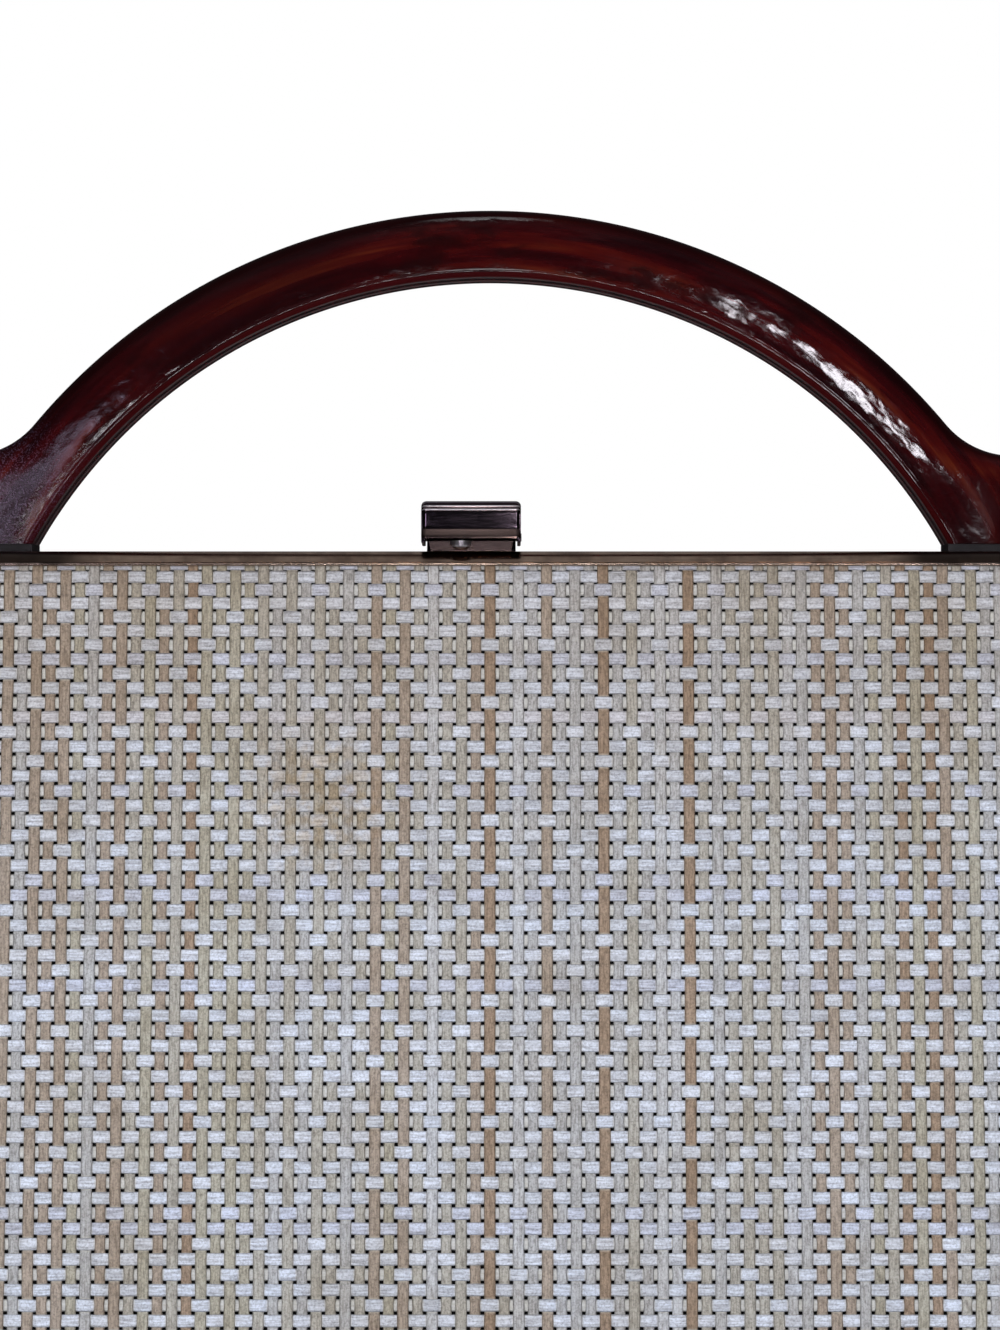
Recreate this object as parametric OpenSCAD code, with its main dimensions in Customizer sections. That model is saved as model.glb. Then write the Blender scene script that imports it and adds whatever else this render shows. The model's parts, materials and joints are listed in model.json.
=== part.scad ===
// A rigid woven box bag with metal frames, a hinged front, a flip clasp and an arched handle.
// Millimetres. +Z is up, -Y is the front, and the origin is the centre of the underside.

/* [Box] */
// Width over the metal frames
box_w = 264; // [260:2:290]
// Height from the underside to the top of the frames
frame_top = 196; // [180:1:215]
// Depth at the bottom, over both frames
depth_bottom = 70; // [62:1:84]
// Depth at the top, over both frames
depth_top = 26; // [25.5:0.5:32]
// Height of the base and of the sill under the front
sill_h = 5; // [4.5:0.5:7]
// Play between the front and the rest of the bag
part_gap = 0.4; // [0.3:0.1:0.8]
// Play round a piece that sits in a pocket
fit_gap = 0.05; // [0.03:0.01:0.1]

/* [Frames] */
// Thickness of a leaf's frame, front to back
frame_t = 8.1; // [7.6:0.1:8.4]
// Width of the frame's visible face
frame_face = 3.4; // [2.8:0.1:4.2]
// Thickness of the lip that holds the weave in
frame_lip = 1.2; // [0.9:0.1:1.5]
// Width of the frame's inner flange
frame_flange = 6; // [5:0.5:7]
// Radius of the frame's top corners
frame_corner = 6; // [5.5:0.5:7]
// Wall of the frame outside its pocket
pocket_wall = 1.4; // [1:0.1:2]
// Thickness of the rim that the front closes on
rim_t = 4; // [3.5:0.5:4.5]
// Thickness of the top plate
top_plate_t = 2.5; // [2:0.25:3.5]

/* [Weave] */
// Distance from one upright strand to the next
strand_pitch = 3.2; // [2.8:0.1:4]
// Width of an upright strand
strand_w = 2.3; // [1.8:0.1:2.6]
// Height of a row of the weave
row_pitch = 3.4; // [3:0.1:4]
// Thickness of the woven sheet under its ridges
weave_t = 1.6; // [1.2:0.1:1.8]
// How far the upright strands stand out
ridge_h = 0.7; // [0.4:0.1:0.8]
// Thickness of the stiff board behind the weave
board_t = 1.4; // [1:0.1:1.6]
// Thickness of the cloth lining
lining_t = 0.6; // [0.4:0.1:0.8]

/* [Handle] */
// Clear height under the arch, from the top of the frames
grip_h = 63.1; // [52:0.1:66]
// Height of the arch's band
band_h = 15.4; // [13:0.2:18]
// Depth of the handle, front to back
handle_d = 16; // [14:0.5:16.5]
// Length of a foot along the frame
foot_len = 23.9; // [20:0.1:30]
// Height of the feet
foot_h = 22.3; // [19:0.1:24]
// Radius of the hollow curve from the arch into a foot
foot_fillet = 20; // [16:1:24]
// Radius of the round end of a foot
foot_corner = 8; // [5:0.5:9]
// Distance from the end of a foot to the side of the frame
foot_inset = 2; // [1:0.5:3]
// Thickness of the seat plate under a foot
seat_t = 2; // [1.5:0.25:2.5]

/* [Clasp] */
// Width of the flap
clasp_w = 22.6; // [20:0.2:26]
// How far the clasp sits to the left of the middle
clasp_shift = 4.3; // [0:0.1:8]
// Height of the flap's top over the frames
clasp_h = 11.4; // [11:0.1:13]
// Thickness of the clasp's sheet metal
clasp_sheet = 0.8; // [0.6:0.1:0.9]
// Gap under the flap's front lip, over the frames
clasp_lip = 2.9; // [2.8:0.1:3.4]
// Radius of the stud
stud_r = 2.45; // [2:0.05:2.6]

/* [Hinge] */
// Outer radius of the hinge barrels
barrel_r = 2.5; // [2.2:0.1:2.8]
// Radius of the hinge pins
hinge_pin_r = 1.2; // [0.9:0.1:1.4]
// Length of each hinge
hinge_len = 42; // [32:1:60]
// Distance between the two hinges
hinge_span = 168; // [130:2:190]

/* [Hidden] */
$fn = 48;
run = 0.05;
far = 400;
past = 10;
half_w = box_w / 2;

// Lean of the front and the rear
rise = frame_top - sill_h;
lean_a = atan((depth_bottom - depth_top) / 2 / rise);
door_foot = sill_h + part_gap;
rim_d = frame_t + part_gap;
case_d = rim_d + rim_t;

// Depths inside a leaf, from its outer face inwards
ridge_d = frame_lip + fit_gap;
weave_d = ridge_d + ridge_h;
board_d = weave_d + weave_t;
pocket_d = board_d + board_t + fit_gap;
ridge_pitch = 2 * strand_pitch;
ridge_top = 0.5;

// Places of the pieces under the top
plate_z = frame_top - top_plate_t;
side_outer = half_w - frame_lip;
side_weave = side_outer - ridge_h;
side_board = side_weave - weave_t;
side_inner = side_board - board_t;

// The gaps that run through a woven wall
gap_cols = 20;
gap_rows = 6;
gap_w = 1.0;
gap_h = 0.7;

// Handle: the clear width between its feet, and two arcs about one centre in the XZ plane
foot_end = half_w - foot_inset;
grip_w = 2 * (foot_end - foot_len);
inner_r = (pow(grip_w / 2, 2) + grip_h * grip_h) / (2 * grip_h);
outer_r = inner_r + band_h;
arch_z = frame_top + grip_h - inner_r;
foot_z = frame_top + seat_t;
foot_top = frame_top + foot_h;
fillet_z = foot_top + foot_fillet;
fillet_x = sqrt(pow(outer_r + foot_fillet, 2) - pow(fillet_z - arch_z, 2));
foot_flat = 0.3;
foot_round = min(foot_corner, foot_end - fillet_x - foot_flat);
arch_a = asin(fillet_x / (outer_r + foot_fillet));
toe_a = acos((foot_z - arch_z) / inner_r);
arch_steps = 28;
fillet_steps = 7;
round_steps = 6;
foot_steps = fillet_steps + round_steps + 2;
handle_y = depth_top / 2 - 0.5 - handle_d / 2;
handle_edge = 1;
handle_crown = 0.8;
handle_round = 5;

// Screws that hold the feet
screw_r = 1.5;
screw_head_r = 2.2;
screw_head_h = 1.8;
screw_in = 12;
screw_room = 0.5;
screw_toe = 5;
screw_end = 9;
screw_y = (case_d - frame_t - lining_t) / 2;
screw_xs = [for (s = [-1, 1]) for (x = [grip_w / 2 + screw_toe, foot_end - screw_end]) s * x];

// Clasp: the flap's pin, its front roll and its catch
clasp_x = -clasp_shift;
flap_roll = 3;
flap_front = -depth_top / 2;
flap_a = [flap_front + flap_roll, frame_top + clasp_h - flap_roll];
flap_b = [-0.5, frame_top + 3.5];
flap_len = norm(flap_b - flap_a);
flap_dir = (flap_b - flap_a) / flap_len;
flap_up = [-flap_dir[1], flap_dir[0]];
lip_z = frame_top + clasp_lip;
flange_z = lip_z - 1;
flange_inner = clasp_w / 2 - clasp_sheet;
flange_eye = 2;
flare_h = 2.2;
flare_d = 0.5;
hem_h = 0.4;
pin_r = 0.9;
pin_out = 0.2;
ear_t = 1;
ear_r = 1.7;
ear_outer = flange_inner - 0.35;
plate_t = 0.6;
bracket_y = [-4, 5];
catch_len = 7;
neck_top = lip_z - 0.6;
neck_y = [flap_front + 0.6, flap_front + 1.6];
neck_half = [ear_outer - 1.1, ear_outer - 0.5];
stud_x = clasp_x - 2.3;
stud_gap = 0.2;
rivet_r = 0.8;
rivet_head_r = 1.3;
rivet_head_h = 0.4;
bracket_rivet_x = 6.5;
bracket_rivet_y = 3;
catch_rivet_y = flap_front + 5;

// Hinge: the barrel's middle length belongs to the front, its ends to the sill
hinge_xs = [-hinge_span / 2, hinge_span / 2];
knuckle_half = hinge_len * 0.22;
knuckle_gap = 0.3;
barrel_room = 0.35;
axis_y = -depth_bottom / 2;
axis_z = sill_h;
sill_d = 12;

brass = [0.42, 0.37, 0.31];
dark_metal = [0.17, 0.15, 0.17];
straw = [0.72, 0.69, 0.62];
resin = [0.24, 0.05, 0.03];
board_black = [0.09, 0.08, 0.08];
cloth = [0.55, 0.47, 0.36];
hide = [0.25, 0.14, 0.09];

// Puts y = depth from the front's outer face, z = up along the front
module lean() {
  translate([0, axis_y, axis_z]) rotate([-lean_a, 0, 0]) children();
}

// Everything between two depths of the leaning front
module slab(d0, d1) {
  lean() translate([-far / 2, d0, -far / 4]) cube([far, d1 - d0, far]);
}

module to_rear() {
  mirror([0, 1, 0]) children();
}

// Front-view outline with round top corners, set in on all sides
module outline(inset, z0) {
  r = max(frame_corner - inset, 0.6);
  w = half_w - inset;
  top = frame_top - inset;
  translate([-w, z0]) square([2 * w, top - r - z0]);
  translate([r - w, z0]) square([2 * (w - r), top - z0]);
  for (s = [-1, 1]) translate([s * (w - r), top - r]) circle(r);
}

module block(inset, z0) {
  rotate([90, 0, 0]) linear_extrude(far, center = true) outline(inset, z0);
}

// A leaf's frame: lip, pocket for the woven sheet and its board, inner flange
module leaf_frame(z0) {
  difference() {
    intersection() {
      slab(0, frame_t);
      block(0, z0);
    }
    intersection() {
      slab(-past, board_d);
      block(frame_face, z0 + frame_face);
    }
    intersection() {
      slab(frame_lip, pocket_d);
      block(pocket_wall, z0 + pocket_wall);
    }
    intersection() {
      slab(board_d, frame_t + past);
      block(frame_flange, z0 + frame_flange);
    }
  }
}

// Section of a woven wall: a sheet with a row of upright ridges on its outer side
module ridged_section(half_l, pitch) {
  n = floor((half_l - strand_w / 2) / pitch);
  polygon(concat(
    [[-half_l, ridge_h + weave_t], [-half_l, ridge_h]],
    [for (i = [-n:n]) each [
      [i * pitch - strand_w / 2, ridge_h],
      [i * pitch - strand_w * ridge_top / 2, 0],
      [i * pitch + strand_w * ridge_top / 2, 0],
      [i * pitch + strand_w / 2, ridge_h]
    ]],
    [[half_l, ridge_h], [half_l, ridge_h + weave_t]]
  ));
}

// Where a column of gaps lies, midway between two strands
function gap_x(c, cols) = (2 * c - cols + 1) * ridge_pitch + strand_pitch / 2;

// A leaf's woven sheet, with small gaps beside the strands
module leaf_panel(z0) {
  edge = pocket_wall + fit_gap;
  first = z0 + 8 * row_pitch;
  step = floor((rise - 16 * row_pitch) / (gap_rows - 1) / row_pitch) * row_pitch;
  cols = min(gap_cols, 2 * floor((half_w - 8) / (2 * ridge_pitch)));
  difference() {
    intersection() {
      lean() translate([0, ridge_d, -2 * past]) linear_extrude(far) ridged_section(half_w, ridge_pitch);
      block(edge, z0 + edge);
    }
    for (c = [0:cols - 1]) for (r = [0:gap_rows - 1])
      lean() translate([gap_x(c, cols), weave_d, first + r * step])
        cube([gap_w, 3 * weave_t, gap_h], center = true);
  }
}

module leaf_board(z0) {
  edge = pocket_wall + fit_gap;
  intersection() {
    slab(board_d, board_d + board_t);
    block(edge, z0 + edge);
  }
}

// Cuts a piece to the room between the rim and the rear frame, under the top plate
module between_frames(rear_d) {
  difference() {
    children();
    slab(-far / 2, case_d);
    to_rear() slab(-far / 2, rear_d);
  }
}

module side_panel(s) {
  color(straw) between_frames(frame_t)
    translate([s * side_outer, 0, sill_h]) rotate([0, 0, s * 90])
      linear_extrude(plate_z - sill_h) ridged_section(depth_bottom / 2, ridge_pitch);
}

module side_board(s) {
  color(board_black) between_frames(frame_t)
    translate([s * (side_inner + board_t / 2), 0, (sill_h + plate_z) / 2])
      cube([board_t, depth_bottom, plate_z - sill_h], center = true);
}

module rear_panel() { color(straw) to_rear() leaf_panel(sill_h); }
module rear_board() { color(board_black) to_rear() leaf_board(sill_h); }
module rear_frame() { color(brass) to_rear() leaf_frame(sill_h); }
module side_panel_left() { side_panel(-1); }
module side_panel_right() { side_panel(1); }
module side_board_left() { side_board(-1); }
module side_board_right() { side_board(1); }

module rim_frame() {
  color(brass) difference() {
    intersection() {
      slab(rim_d, case_d);
      block(0, sill_h);
    }
    block(frame_flange, sill_h + frame_flange);
  }
}

module base_panel() {
  color(hide) translate([-half_w, axis_y + sill_d, 0]) cube([box_w, depth_bottom - sill_d, sill_h]);
}

// The metal top between the rim and the rear frame
module top_plate() {
  color(brass) difference() {
    between_frames(frame_t) intersection() {
      block(0, sill_h);
      translate([-half_w, -half_w, plate_z]) cube([box_w, box_w, top_plate_t]);
    }
    for (x = screw_xs) translate([x, screw_y, 0]) cylinder(h = far, r = screw_r + run);
    bracket_rivet_places() cylinder(h = far, r = rivet_r + run, center = true);
  }
}

// One cloth tray: floor, two sides and the rear
module case_lining() {
  color(cloth) difference() {
    between_frames(frame_t)
      translate([-side_inner, -half_w, sill_h]) cube([2 * side_inner, box_w, plate_z - sill_h]);
    between_frames(frame_t + lining_t)
      translate([lining_t - side_inner, -half_w, sill_h + lining_t])
        cube([2 * (side_inner - lining_t), box_w, rise]);
  }
}

// Hinge barrels: the middle length on the front, the ends on the sill
module along_hinges() {
  for (x = hinge_xs) translate([x, axis_y, axis_z]) rotate([0, 90, 0]) children();
}

module middle_barrel(r) {
  cylinder(h = 2 * knuckle_half, r = r, center = true);
}

module end_barrels(r) {
  l = hinge_len / 2 - knuckle_half - knuckle_gap;
  for (s = [-1, 1]) translate([0, 0, s * (hinge_len / 2 - l / 2)]) cylinder(h = l, r = r, center = true);
}

module middle_room() {
  cylinder(h = 2 * (knuckle_half + knuckle_gap), r = barrel_r + barrel_room, center = true);
}

module end_rooms() {
  l = hinge_len / 2 - knuckle_half + knuckle_gap;
  for (s = [-1, 1]) translate([0, 0, s * (knuckle_half + l / 2)])
    cylinder(h = l, r = barrel_r + barrel_room, center = true);
}

module sill_bar() {
  color(brass) difference() {
    union() {
      difference() {
        translate([-half_w, axis_y, 0]) cube([box_w, sill_d, sill_h]);
        along_hinges() middle_room();
      }
      along_hinges() end_barrels(barrel_r);
    }
    along_hinges() cylinder(h = hinge_len + 2, r = hinge_pin_r, center = true);
  }
}

module hinge_pins() {
  color(dark_metal) along_hinges() cylinder(h = hinge_len, r = hinge_pin_r, center = true);
}

module front_frame() {
  color(brass) difference() {
    union() {
      difference() {
        leaf_frame(door_foot);
        along_hinges() end_rooms();
      }
      along_hinges() middle_barrel(barrel_r);
    }
    along_hinges() cylinder(h = hinge_len + 2, r = hinge_pin_r + run, center = true);
    catch_rivet_places() cylinder(h = far, r = rivet_r + run, center = true);
  }
}

// The front's sheet, cut away round the hinge barrels
module front_panel() {
  color(straw) difference() {
    leaf_panel(door_foot);
    along_hinges() cylinder(h = hinge_len + 2, r = barrel_r + barrel_room, center = true);
  }
}

module front_board() { color(board_black) leaf_board(door_foot); }

module front_lining() {
  edge = frame_flange + fit_gap;
  color(cloth) intersection() {
    slab(pocket_d, pocket_d + lining_t);
    block(edge, door_foot + edge);
  }
}

// Handle: stations of inner and outer points, from the left foot to the right one
function arc_point(r, a) = [r * sin(a), arch_z + r * cos(a)];
foot_outer = concat(
  [for (i = [1:fillet_steps]) let (a = arch_a * (1 - i / fillet_steps))
    [fillet_x - foot_fillet * sin(a), fillet_z - foot_fillet * cos(a)]],
  [for (i = [0:round_steps]) let (a = 90 * i / round_steps)
    [foot_end - foot_round * (1 - sin(a)), foot_top - foot_round * (1 - cos(a))]],
  [[foot_end, foot_z]]
);
foot_inner = [for (i = [1:foot_steps]) arc_point(inner_r, arch_a + (toe_a - arch_a) * i / foot_steps)];
function flip(p) = [-p[0], p[1]];
stations = concat(
  [for (i = [foot_steps - 1:-1:0]) [flip(foot_inner[i]), flip(foot_outer[i])]],
  [for (i = [0:arch_steps]) let (a = arch_a * (2 * i / arch_steps - 1))
    [arc_point(inner_r, a), arc_point(outer_r, a)]],
  [for (i = [0:foot_steps - 1]) [foot_inner[i], foot_outer[i]]]
);

// Section of the band: flat inside, gently crowned faces, round outside
function half_section(l) = let (h = handle_d / 2) concat(
  [[0, h - handle_crown - handle_edge], [handle_edge, h - handle_crown],
   [l * 0.3, h - handle_crown * 0.2], [l * 0.55, h]],
  [for (i = [1:6]) let (a = 15 * i)
    [l - handle_round * (1 - sin(a)), h - handle_round * (1 - cos(a))]]
);
function section(l) = let (s = half_section(l), n = len(s))
  concat(s, [for (i = [n - 1:-1:0]) [s[i][0], -s[i][1]]]);
function station_points(s) = let (l = norm(s[1] - s[0]), e = (s[1] - s[0]) / l)
  [for (p = section(l)) [s[0][0] + e[0] * p[0], handle_y + p[1], s[0][1] + e[1] * p[0]]];

module handle_body() {
  n = len(section(1));
  m = len(stations);
  polyhedron(
    points = [for (s = stations) each station_points(s)],
    faces = concat(
      [[for (i = [n - 1:-1:0]) i]],
      [for (k = [0:m - 2]) for (i = [0:n - 1])
        [k * n + i, k * n + (i + 1) % n, (k + 1) * n + (i + 1) % n, (k + 1) * n + i]],
      [[for (i = [0:n - 1]) (m - 1) * n + i]]
    )
  );
}

module handle() {
  color(resin) difference() {
    handle_body();
    for (x = screw_xs) translate([x, screw_y, frame_top])
      cylinder(h = seat_t + screw_in + screw_room, r = screw_r + run);
  }
}

module seat_plates() {
  inset = 0.6;
  l = foot_end - grip_w / 2 - 2 * inset;
  d = handle_d - 4 * inset;
  color(dark_metal) difference() {
    for (s = [-1, 1]) translate([s * (grip_w / 2 + inset + l / 2), handle_y, frame_top + seat_t / 2])
      cube([l, d, seat_t], center = true);
    for (x = screw_xs) translate([x, screw_y, 0]) cylinder(h = far, r = screw_r + run);
  }
}

module handle_screws() {
  color(dark_metal) for (x = screw_xs) translate([x, screw_y, plate_z - screw_head_h]) {
    cylinder(h = screw_head_h, r = screw_head_r);
    cylinder(h = screw_head_h + top_plate_t + seat_t + screw_in, r = screw_r);
  }
}

// Draws a section given as y and z, and extrudes it along x about the clasp's middle
module clasp_extrude(x0, x1) {
  translate([clasp_x + x0, 0, 0]) rotate([90, 0, 90]) linear_extrude(x1 - x0) children();
}

module flap_outer() {
  translate(flap_a) circle(flap_roll);
  polygon([flap_a, flap_a + flap_roll * flap_up, flap_b + flap_roll * flap_up, flap_b]);
}

module flap_section() {
  inside = flap_roll - clasp_sheet;
  low = frame_top - past;
  difference() {
    union() {
      flap_outer();
      polygon([[flap_front, lip_z + flare_h], [flap_front - flare_d, lip_z + hem_h],
        [flap_front - flare_d, lip_z],
        [flap_front + clasp_sheet, lip_z], flap_a - [flap_roll - clasp_sheet, 0], flap_a - [flap_roll, 0]]);
    }
    translate(flap_a) circle(inside);
    polygon([flap_a, flap_a + inside * flap_up, flap_b + inside * flap_up, flap_b + [0, -flap_roll],
      [flap_b[0], low], [flap_front + clasp_sheet, low], [flap_front + clasp_sheet, flap_a[1]]]);
  }
}

module flange_section() {
  difference() {
    union() {
      flap_outer();
      translate(flap_b) circle(flange_eye);
      polygon([[flap_front, flange_z], flap_a - [flap_roll, 0], flap_a, flap_b + flap_roll * flap_up,
        flap_b - [0, flange_eye * 0.8], [flap_front + flap_roll, flange_z]]);
    }
    translate(flap_b) circle(pin_r + run);
  }
}

module clasp_flap() {
  color(dark_metal) {
    clasp_extrude(-flange_inner, flange_inner) flap_section();
    clasp_extrude(-clasp_w / 2, -flange_inner) flange_section();
    clasp_extrude(flange_inner, clasp_w / 2) flange_section();
  }
}

// Flat leaf under the sloping top of the flap
module clasp_spring() {
  t = 0.4;
  w = clasp_w * 0.45;
  top = flap_roll - clasp_sheet;
  from = flap_a + flap_dir * flap_roll / 2;
  to = flap_b - flap_dir * 1.5 * flap_roll;
  color(brass) clasp_extrude(-w / 2, w / 2)
    polygon([from + flap_up * top, to + flap_up * top,
      to + flap_up * (top - t), from + flap_up * (top - t)]);
}

// Base plate with two ears that carry the flap's pin
module clasp_bracket() {
  color(dark_metal) difference() {
    union() {
      clasp_extrude(-ear_outer, ear_outer)
        translate([bracket_y[0], frame_top]) square([bracket_y[1] - bracket_y[0], plate_t]);
      for (x = [-ear_outer, ear_outer - ear_t]) clasp_extrude(x, x + ear_t) {
        translate(flap_b) circle(ear_r);
        polygon([[bracket_y[0] + ear_r / 3, frame_top], flap_b - [ear_r, 0], flap_b,
          flap_b + [ear_r / 2, 0], [flap_b[0] + ear_r / 2, frame_top]]);
      }
    }
    clasp_extrude(-far, far) translate(flap_b) circle(pin_r);
    bracket_rivet_places() cylinder(h = far, r = rivet_r + run, center = true);
  }
}

module clasp_pin() {
  color(dark_metal) clasp_extrude(-clasp_w / 2 - pin_out, clasp_w / 2 + pin_out)
    translate(flap_b) circle(pin_r);
}

module bracket_rivet_places() {
  for (s = [-1, 1]) translate([clasp_x + s * bracket_rivet_x, bracket_rivet_y, frame_top]) children();
}

module catch_rivet_places() {
  for (s = [-1, 1]) translate([clasp_x + s * bracket_rivet_x, catch_rivet_y, frame_top]) children();
}

// Shank and low head of a rivet that stands in a sheet on the frames
module rivet(depth) {
  translate([0, 0, -depth]) cylinder(h = depth + plate_t, r = rivet_r);
  translate([0, 0, plate_t]) cylinder(h = rivet_head_h, r = rivet_head_r);
}

module bracket_rivets() { color(brass) bracket_rivet_places() rivet(top_plate_t); }
module catch_rivets() { color(brass) catch_rivet_places() rivet(pocket_wall); }

// Plate on the front's frame, with the upturned neck behind the stud
module catch_plate() {
  color(dark_metal) difference() {
    union() {
      clasp_extrude(-neck_half[0], neck_half[0])
        translate([neck_y[0], frame_top]) square([catch_len, plate_t]);
      translate([clasp_x, neck_y[1], 0]) rotate([90, 0, 0]) linear_extrude(neck_y[1] - neck_y[0])
        polygon([[-neck_half[0], frame_top], [neck_half[0], frame_top], [neck_half[1], neck_top],
          [-neck_half[1], neck_top]]);
    }
    catch_rivet_places() cylinder(h = far, r = rivet_r + run, center = true);
  }
}

// Half a ball, flat side up, on the front of the neck
module catch_stud() {
  color(dark_metal) intersection() {
    translate([stud_x, neck_y[0], neck_top]) sphere(stud_r);
    translate([stud_x - stud_r, neck_y[0] - stud_r, frame_top + stud_gap])
      cube([2 * stud_r, stud_r, neck_top - frame_top - stud_gap]);
  }
}

rear_panel();
rear_board();
rear_frame();
rim_frame();
side_panel_left();
side_panel_right();
side_board_left();
side_board_right();
base_panel();
sill_bar();
hinge_pins();
top_plate();
case_lining();
handle();
seat_plates();
handle_screws();
clasp_bracket();
clasp_pin();
bracket_rivets();
front_panel();
front_board();
front_frame();
front_lining();
catch_plate();
catch_stud();
catch_rivets();
clasp_flap();
clasp_spring();
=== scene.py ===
import json
import math

import bmesh
import bpy
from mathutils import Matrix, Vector


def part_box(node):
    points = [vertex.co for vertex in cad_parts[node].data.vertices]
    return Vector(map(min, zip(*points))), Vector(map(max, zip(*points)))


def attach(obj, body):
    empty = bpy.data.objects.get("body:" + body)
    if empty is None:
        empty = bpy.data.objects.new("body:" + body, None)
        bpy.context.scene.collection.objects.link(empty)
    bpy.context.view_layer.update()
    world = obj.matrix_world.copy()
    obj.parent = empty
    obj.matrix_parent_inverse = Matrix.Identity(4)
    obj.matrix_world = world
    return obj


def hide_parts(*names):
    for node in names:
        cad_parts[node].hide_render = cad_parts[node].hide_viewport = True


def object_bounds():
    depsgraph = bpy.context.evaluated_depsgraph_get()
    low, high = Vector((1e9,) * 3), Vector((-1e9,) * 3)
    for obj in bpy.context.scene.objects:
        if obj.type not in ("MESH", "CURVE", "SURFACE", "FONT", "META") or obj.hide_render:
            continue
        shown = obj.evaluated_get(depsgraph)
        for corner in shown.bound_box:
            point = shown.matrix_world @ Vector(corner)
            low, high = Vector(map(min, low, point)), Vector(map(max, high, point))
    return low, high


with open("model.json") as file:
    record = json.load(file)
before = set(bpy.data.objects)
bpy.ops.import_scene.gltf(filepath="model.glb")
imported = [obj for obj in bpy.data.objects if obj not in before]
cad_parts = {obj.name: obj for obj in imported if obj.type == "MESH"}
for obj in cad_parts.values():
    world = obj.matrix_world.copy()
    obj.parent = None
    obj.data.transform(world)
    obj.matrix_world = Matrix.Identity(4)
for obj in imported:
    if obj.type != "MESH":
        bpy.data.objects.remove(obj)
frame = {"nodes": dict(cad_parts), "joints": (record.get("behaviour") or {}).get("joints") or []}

mm = 0.001
nodes = frame["nodes"]
cadLow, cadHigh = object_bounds()


# Small helpers for node trees
def feed(tree, socket, value):
    if isinstance(value, bpy.types.NodeSocket):
        tree.links.new(value, socket)
    else:
        socket.default_value = value


def calc(tree, operation, *values):
    node = tree.nodes.new("ShaderNodeMath")
    node.operation = operation
    for socket, value in zip(node.inputs, values):
        feed(tree, socket, value)
    return node.outputs[0]


def vectorCalc(tree, operation, first, second=None, scale=None):
    node = tree.nodes.new("ShaderNodeVectorMath")
    node.operation = operation
    feed(tree, node.inputs[0], first)
    if second is not None:
        feed(tree, node.inputs[1], second)
    if scale is not None:
        feed(tree, node.inputs["Scale"], scale)
    return node.outputs["Value" if operation in ("DISTANCE", "LENGTH") else "Vector"]


def smooth(tree, value, low, high, start, end):
    # Eases from start at low to end at high
    node = tree.nodes.new("ShaderNodeMapRange")
    node.interpolation_type = "SMOOTHSTEP"
    names = ("Value", "From Min", "From Max", "To Min", "To Max")
    for name, part in zip(names, (value, low, high, start, end)):
        feed(tree, node.inputs[name], part)
    return node.outputs["Result"]


def blendOf(tree, factor, first, second):
    # first where factor is 0, second where it is 1
    return calc(tree, "ADD", first, calc(tree, "MULTIPLY", factor, calc(tree, "SUBTRACT", second, first)))


def apart(tree, value, middle):
    return calc(tree, "ABSOLUTE", calc(tree, "SUBTRACT", value, middle))


def noise(tree, vector, scale, detail=3.0, roughness=0.5):
    node = tree.nodes.new("ShaderNodeTexNoise")
    feed(tree, node.inputs["Vector"], vector)
    node.inputs["Scale"].default_value = scale
    node.inputs["Detail"].default_value = detail
    node.inputs["Roughness"].default_value = roughness
    return node.outputs["Fac"]


def mixColour(tree, factor, first, second, blend="MIX"):
    node = tree.nodes.new("ShaderNodeMix")
    node.data_type = "RGBA"
    node.blend_type = blend
    feed(tree, node.inputs[0], factor)
    feed(tree, node.inputs[6], first)
    feed(tree, node.inputs[7], second)
    return node.outputs[2]


def ramp(tree, value, stops, interpolation="LINEAR"):
    node = tree.nodes.new("ShaderNodeValToRGB")
    node.color_ramp.interpolation = interpolation
    elements = node.color_ramp.elements
    while len(elements) < len(stops):
        elements.new(0.5)
    for element, (position, colour) in zip(elements, stops):
        element.position = position
        element.color = colour
    feed(tree, node.inputs[0], value)
    return node.outputs[0]


def stretched(tree, vector, scale):
    mapping = tree.nodes.new("ShaderNodeMapping")
    mapping.inputs["Scale"].default_value = scale
    tree.links.new(vector, mapping.inputs["Vector"])
    return mapping.outputs["Vector"]


def objectSpace(tree, scale=(1.0, 1.0, 1.0)):
    return stretched(tree, tree.nodes.new("ShaderNodeTexCoord").outputs["Object"], scale)


def axesOf(tree, vector):
    node = tree.nodes.new("ShaderNodeSeparateXYZ")
    tree.links.new(vector, node.inputs[0])
    return node.outputs


def attribute(tree, name, output="Fac"):
    node = tree.nodes.new("ShaderNodeAttribute")
    node.attribute_name = name
    return node.outputs[output]


def bump(tree, shader, height, strength, distance):
    node = tree.nodes.new("ShaderNodeBump")
    node.inputs["Strength"].default_value = strength
    node.inputs["Distance"].default_value = distance
    tree.links.new(height, node.inputs["Height"])
    tree.links.new(node.outputs["Normal"], shader.inputs["Normal"])


def newMaterial(name, values):
    material = bpy.data.materials.new(name)
    material.use_nodes = True
    tree = material.node_tree
    tree.nodes.clear()
    output = tree.nodes.new("ShaderNodeOutputMaterial")
    shader = tree.nodes.new("ShaderNodeBsdfPrincipled")
    tree.links.new(shader.outputs["BSDF"], output.inputs["Surface"])
    for key, value in values.items():
        shader.inputs[key].default_value = value
    return material, tree, shader


def srgb(red, green, blue):
    # Screen values to linear light
    linear = []
    for value in (red, green, blue):
        part = value / 255
        linear.append(part / 12.92 if part <= 0.04045 else ((part + 0.055) / 1.055) ** 2.4)
    return (*linear, 1.0)


white = (1.0, 1.0, 1.0, 1.0)


# Places taken from the frame: the leaning leaves, the top of their frames and the clasp
def jointPlace(name):
    joint = [item for item in frame["joints"] if item["name"] == name][0]
    return Vector(joint["pos_m"])


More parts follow.
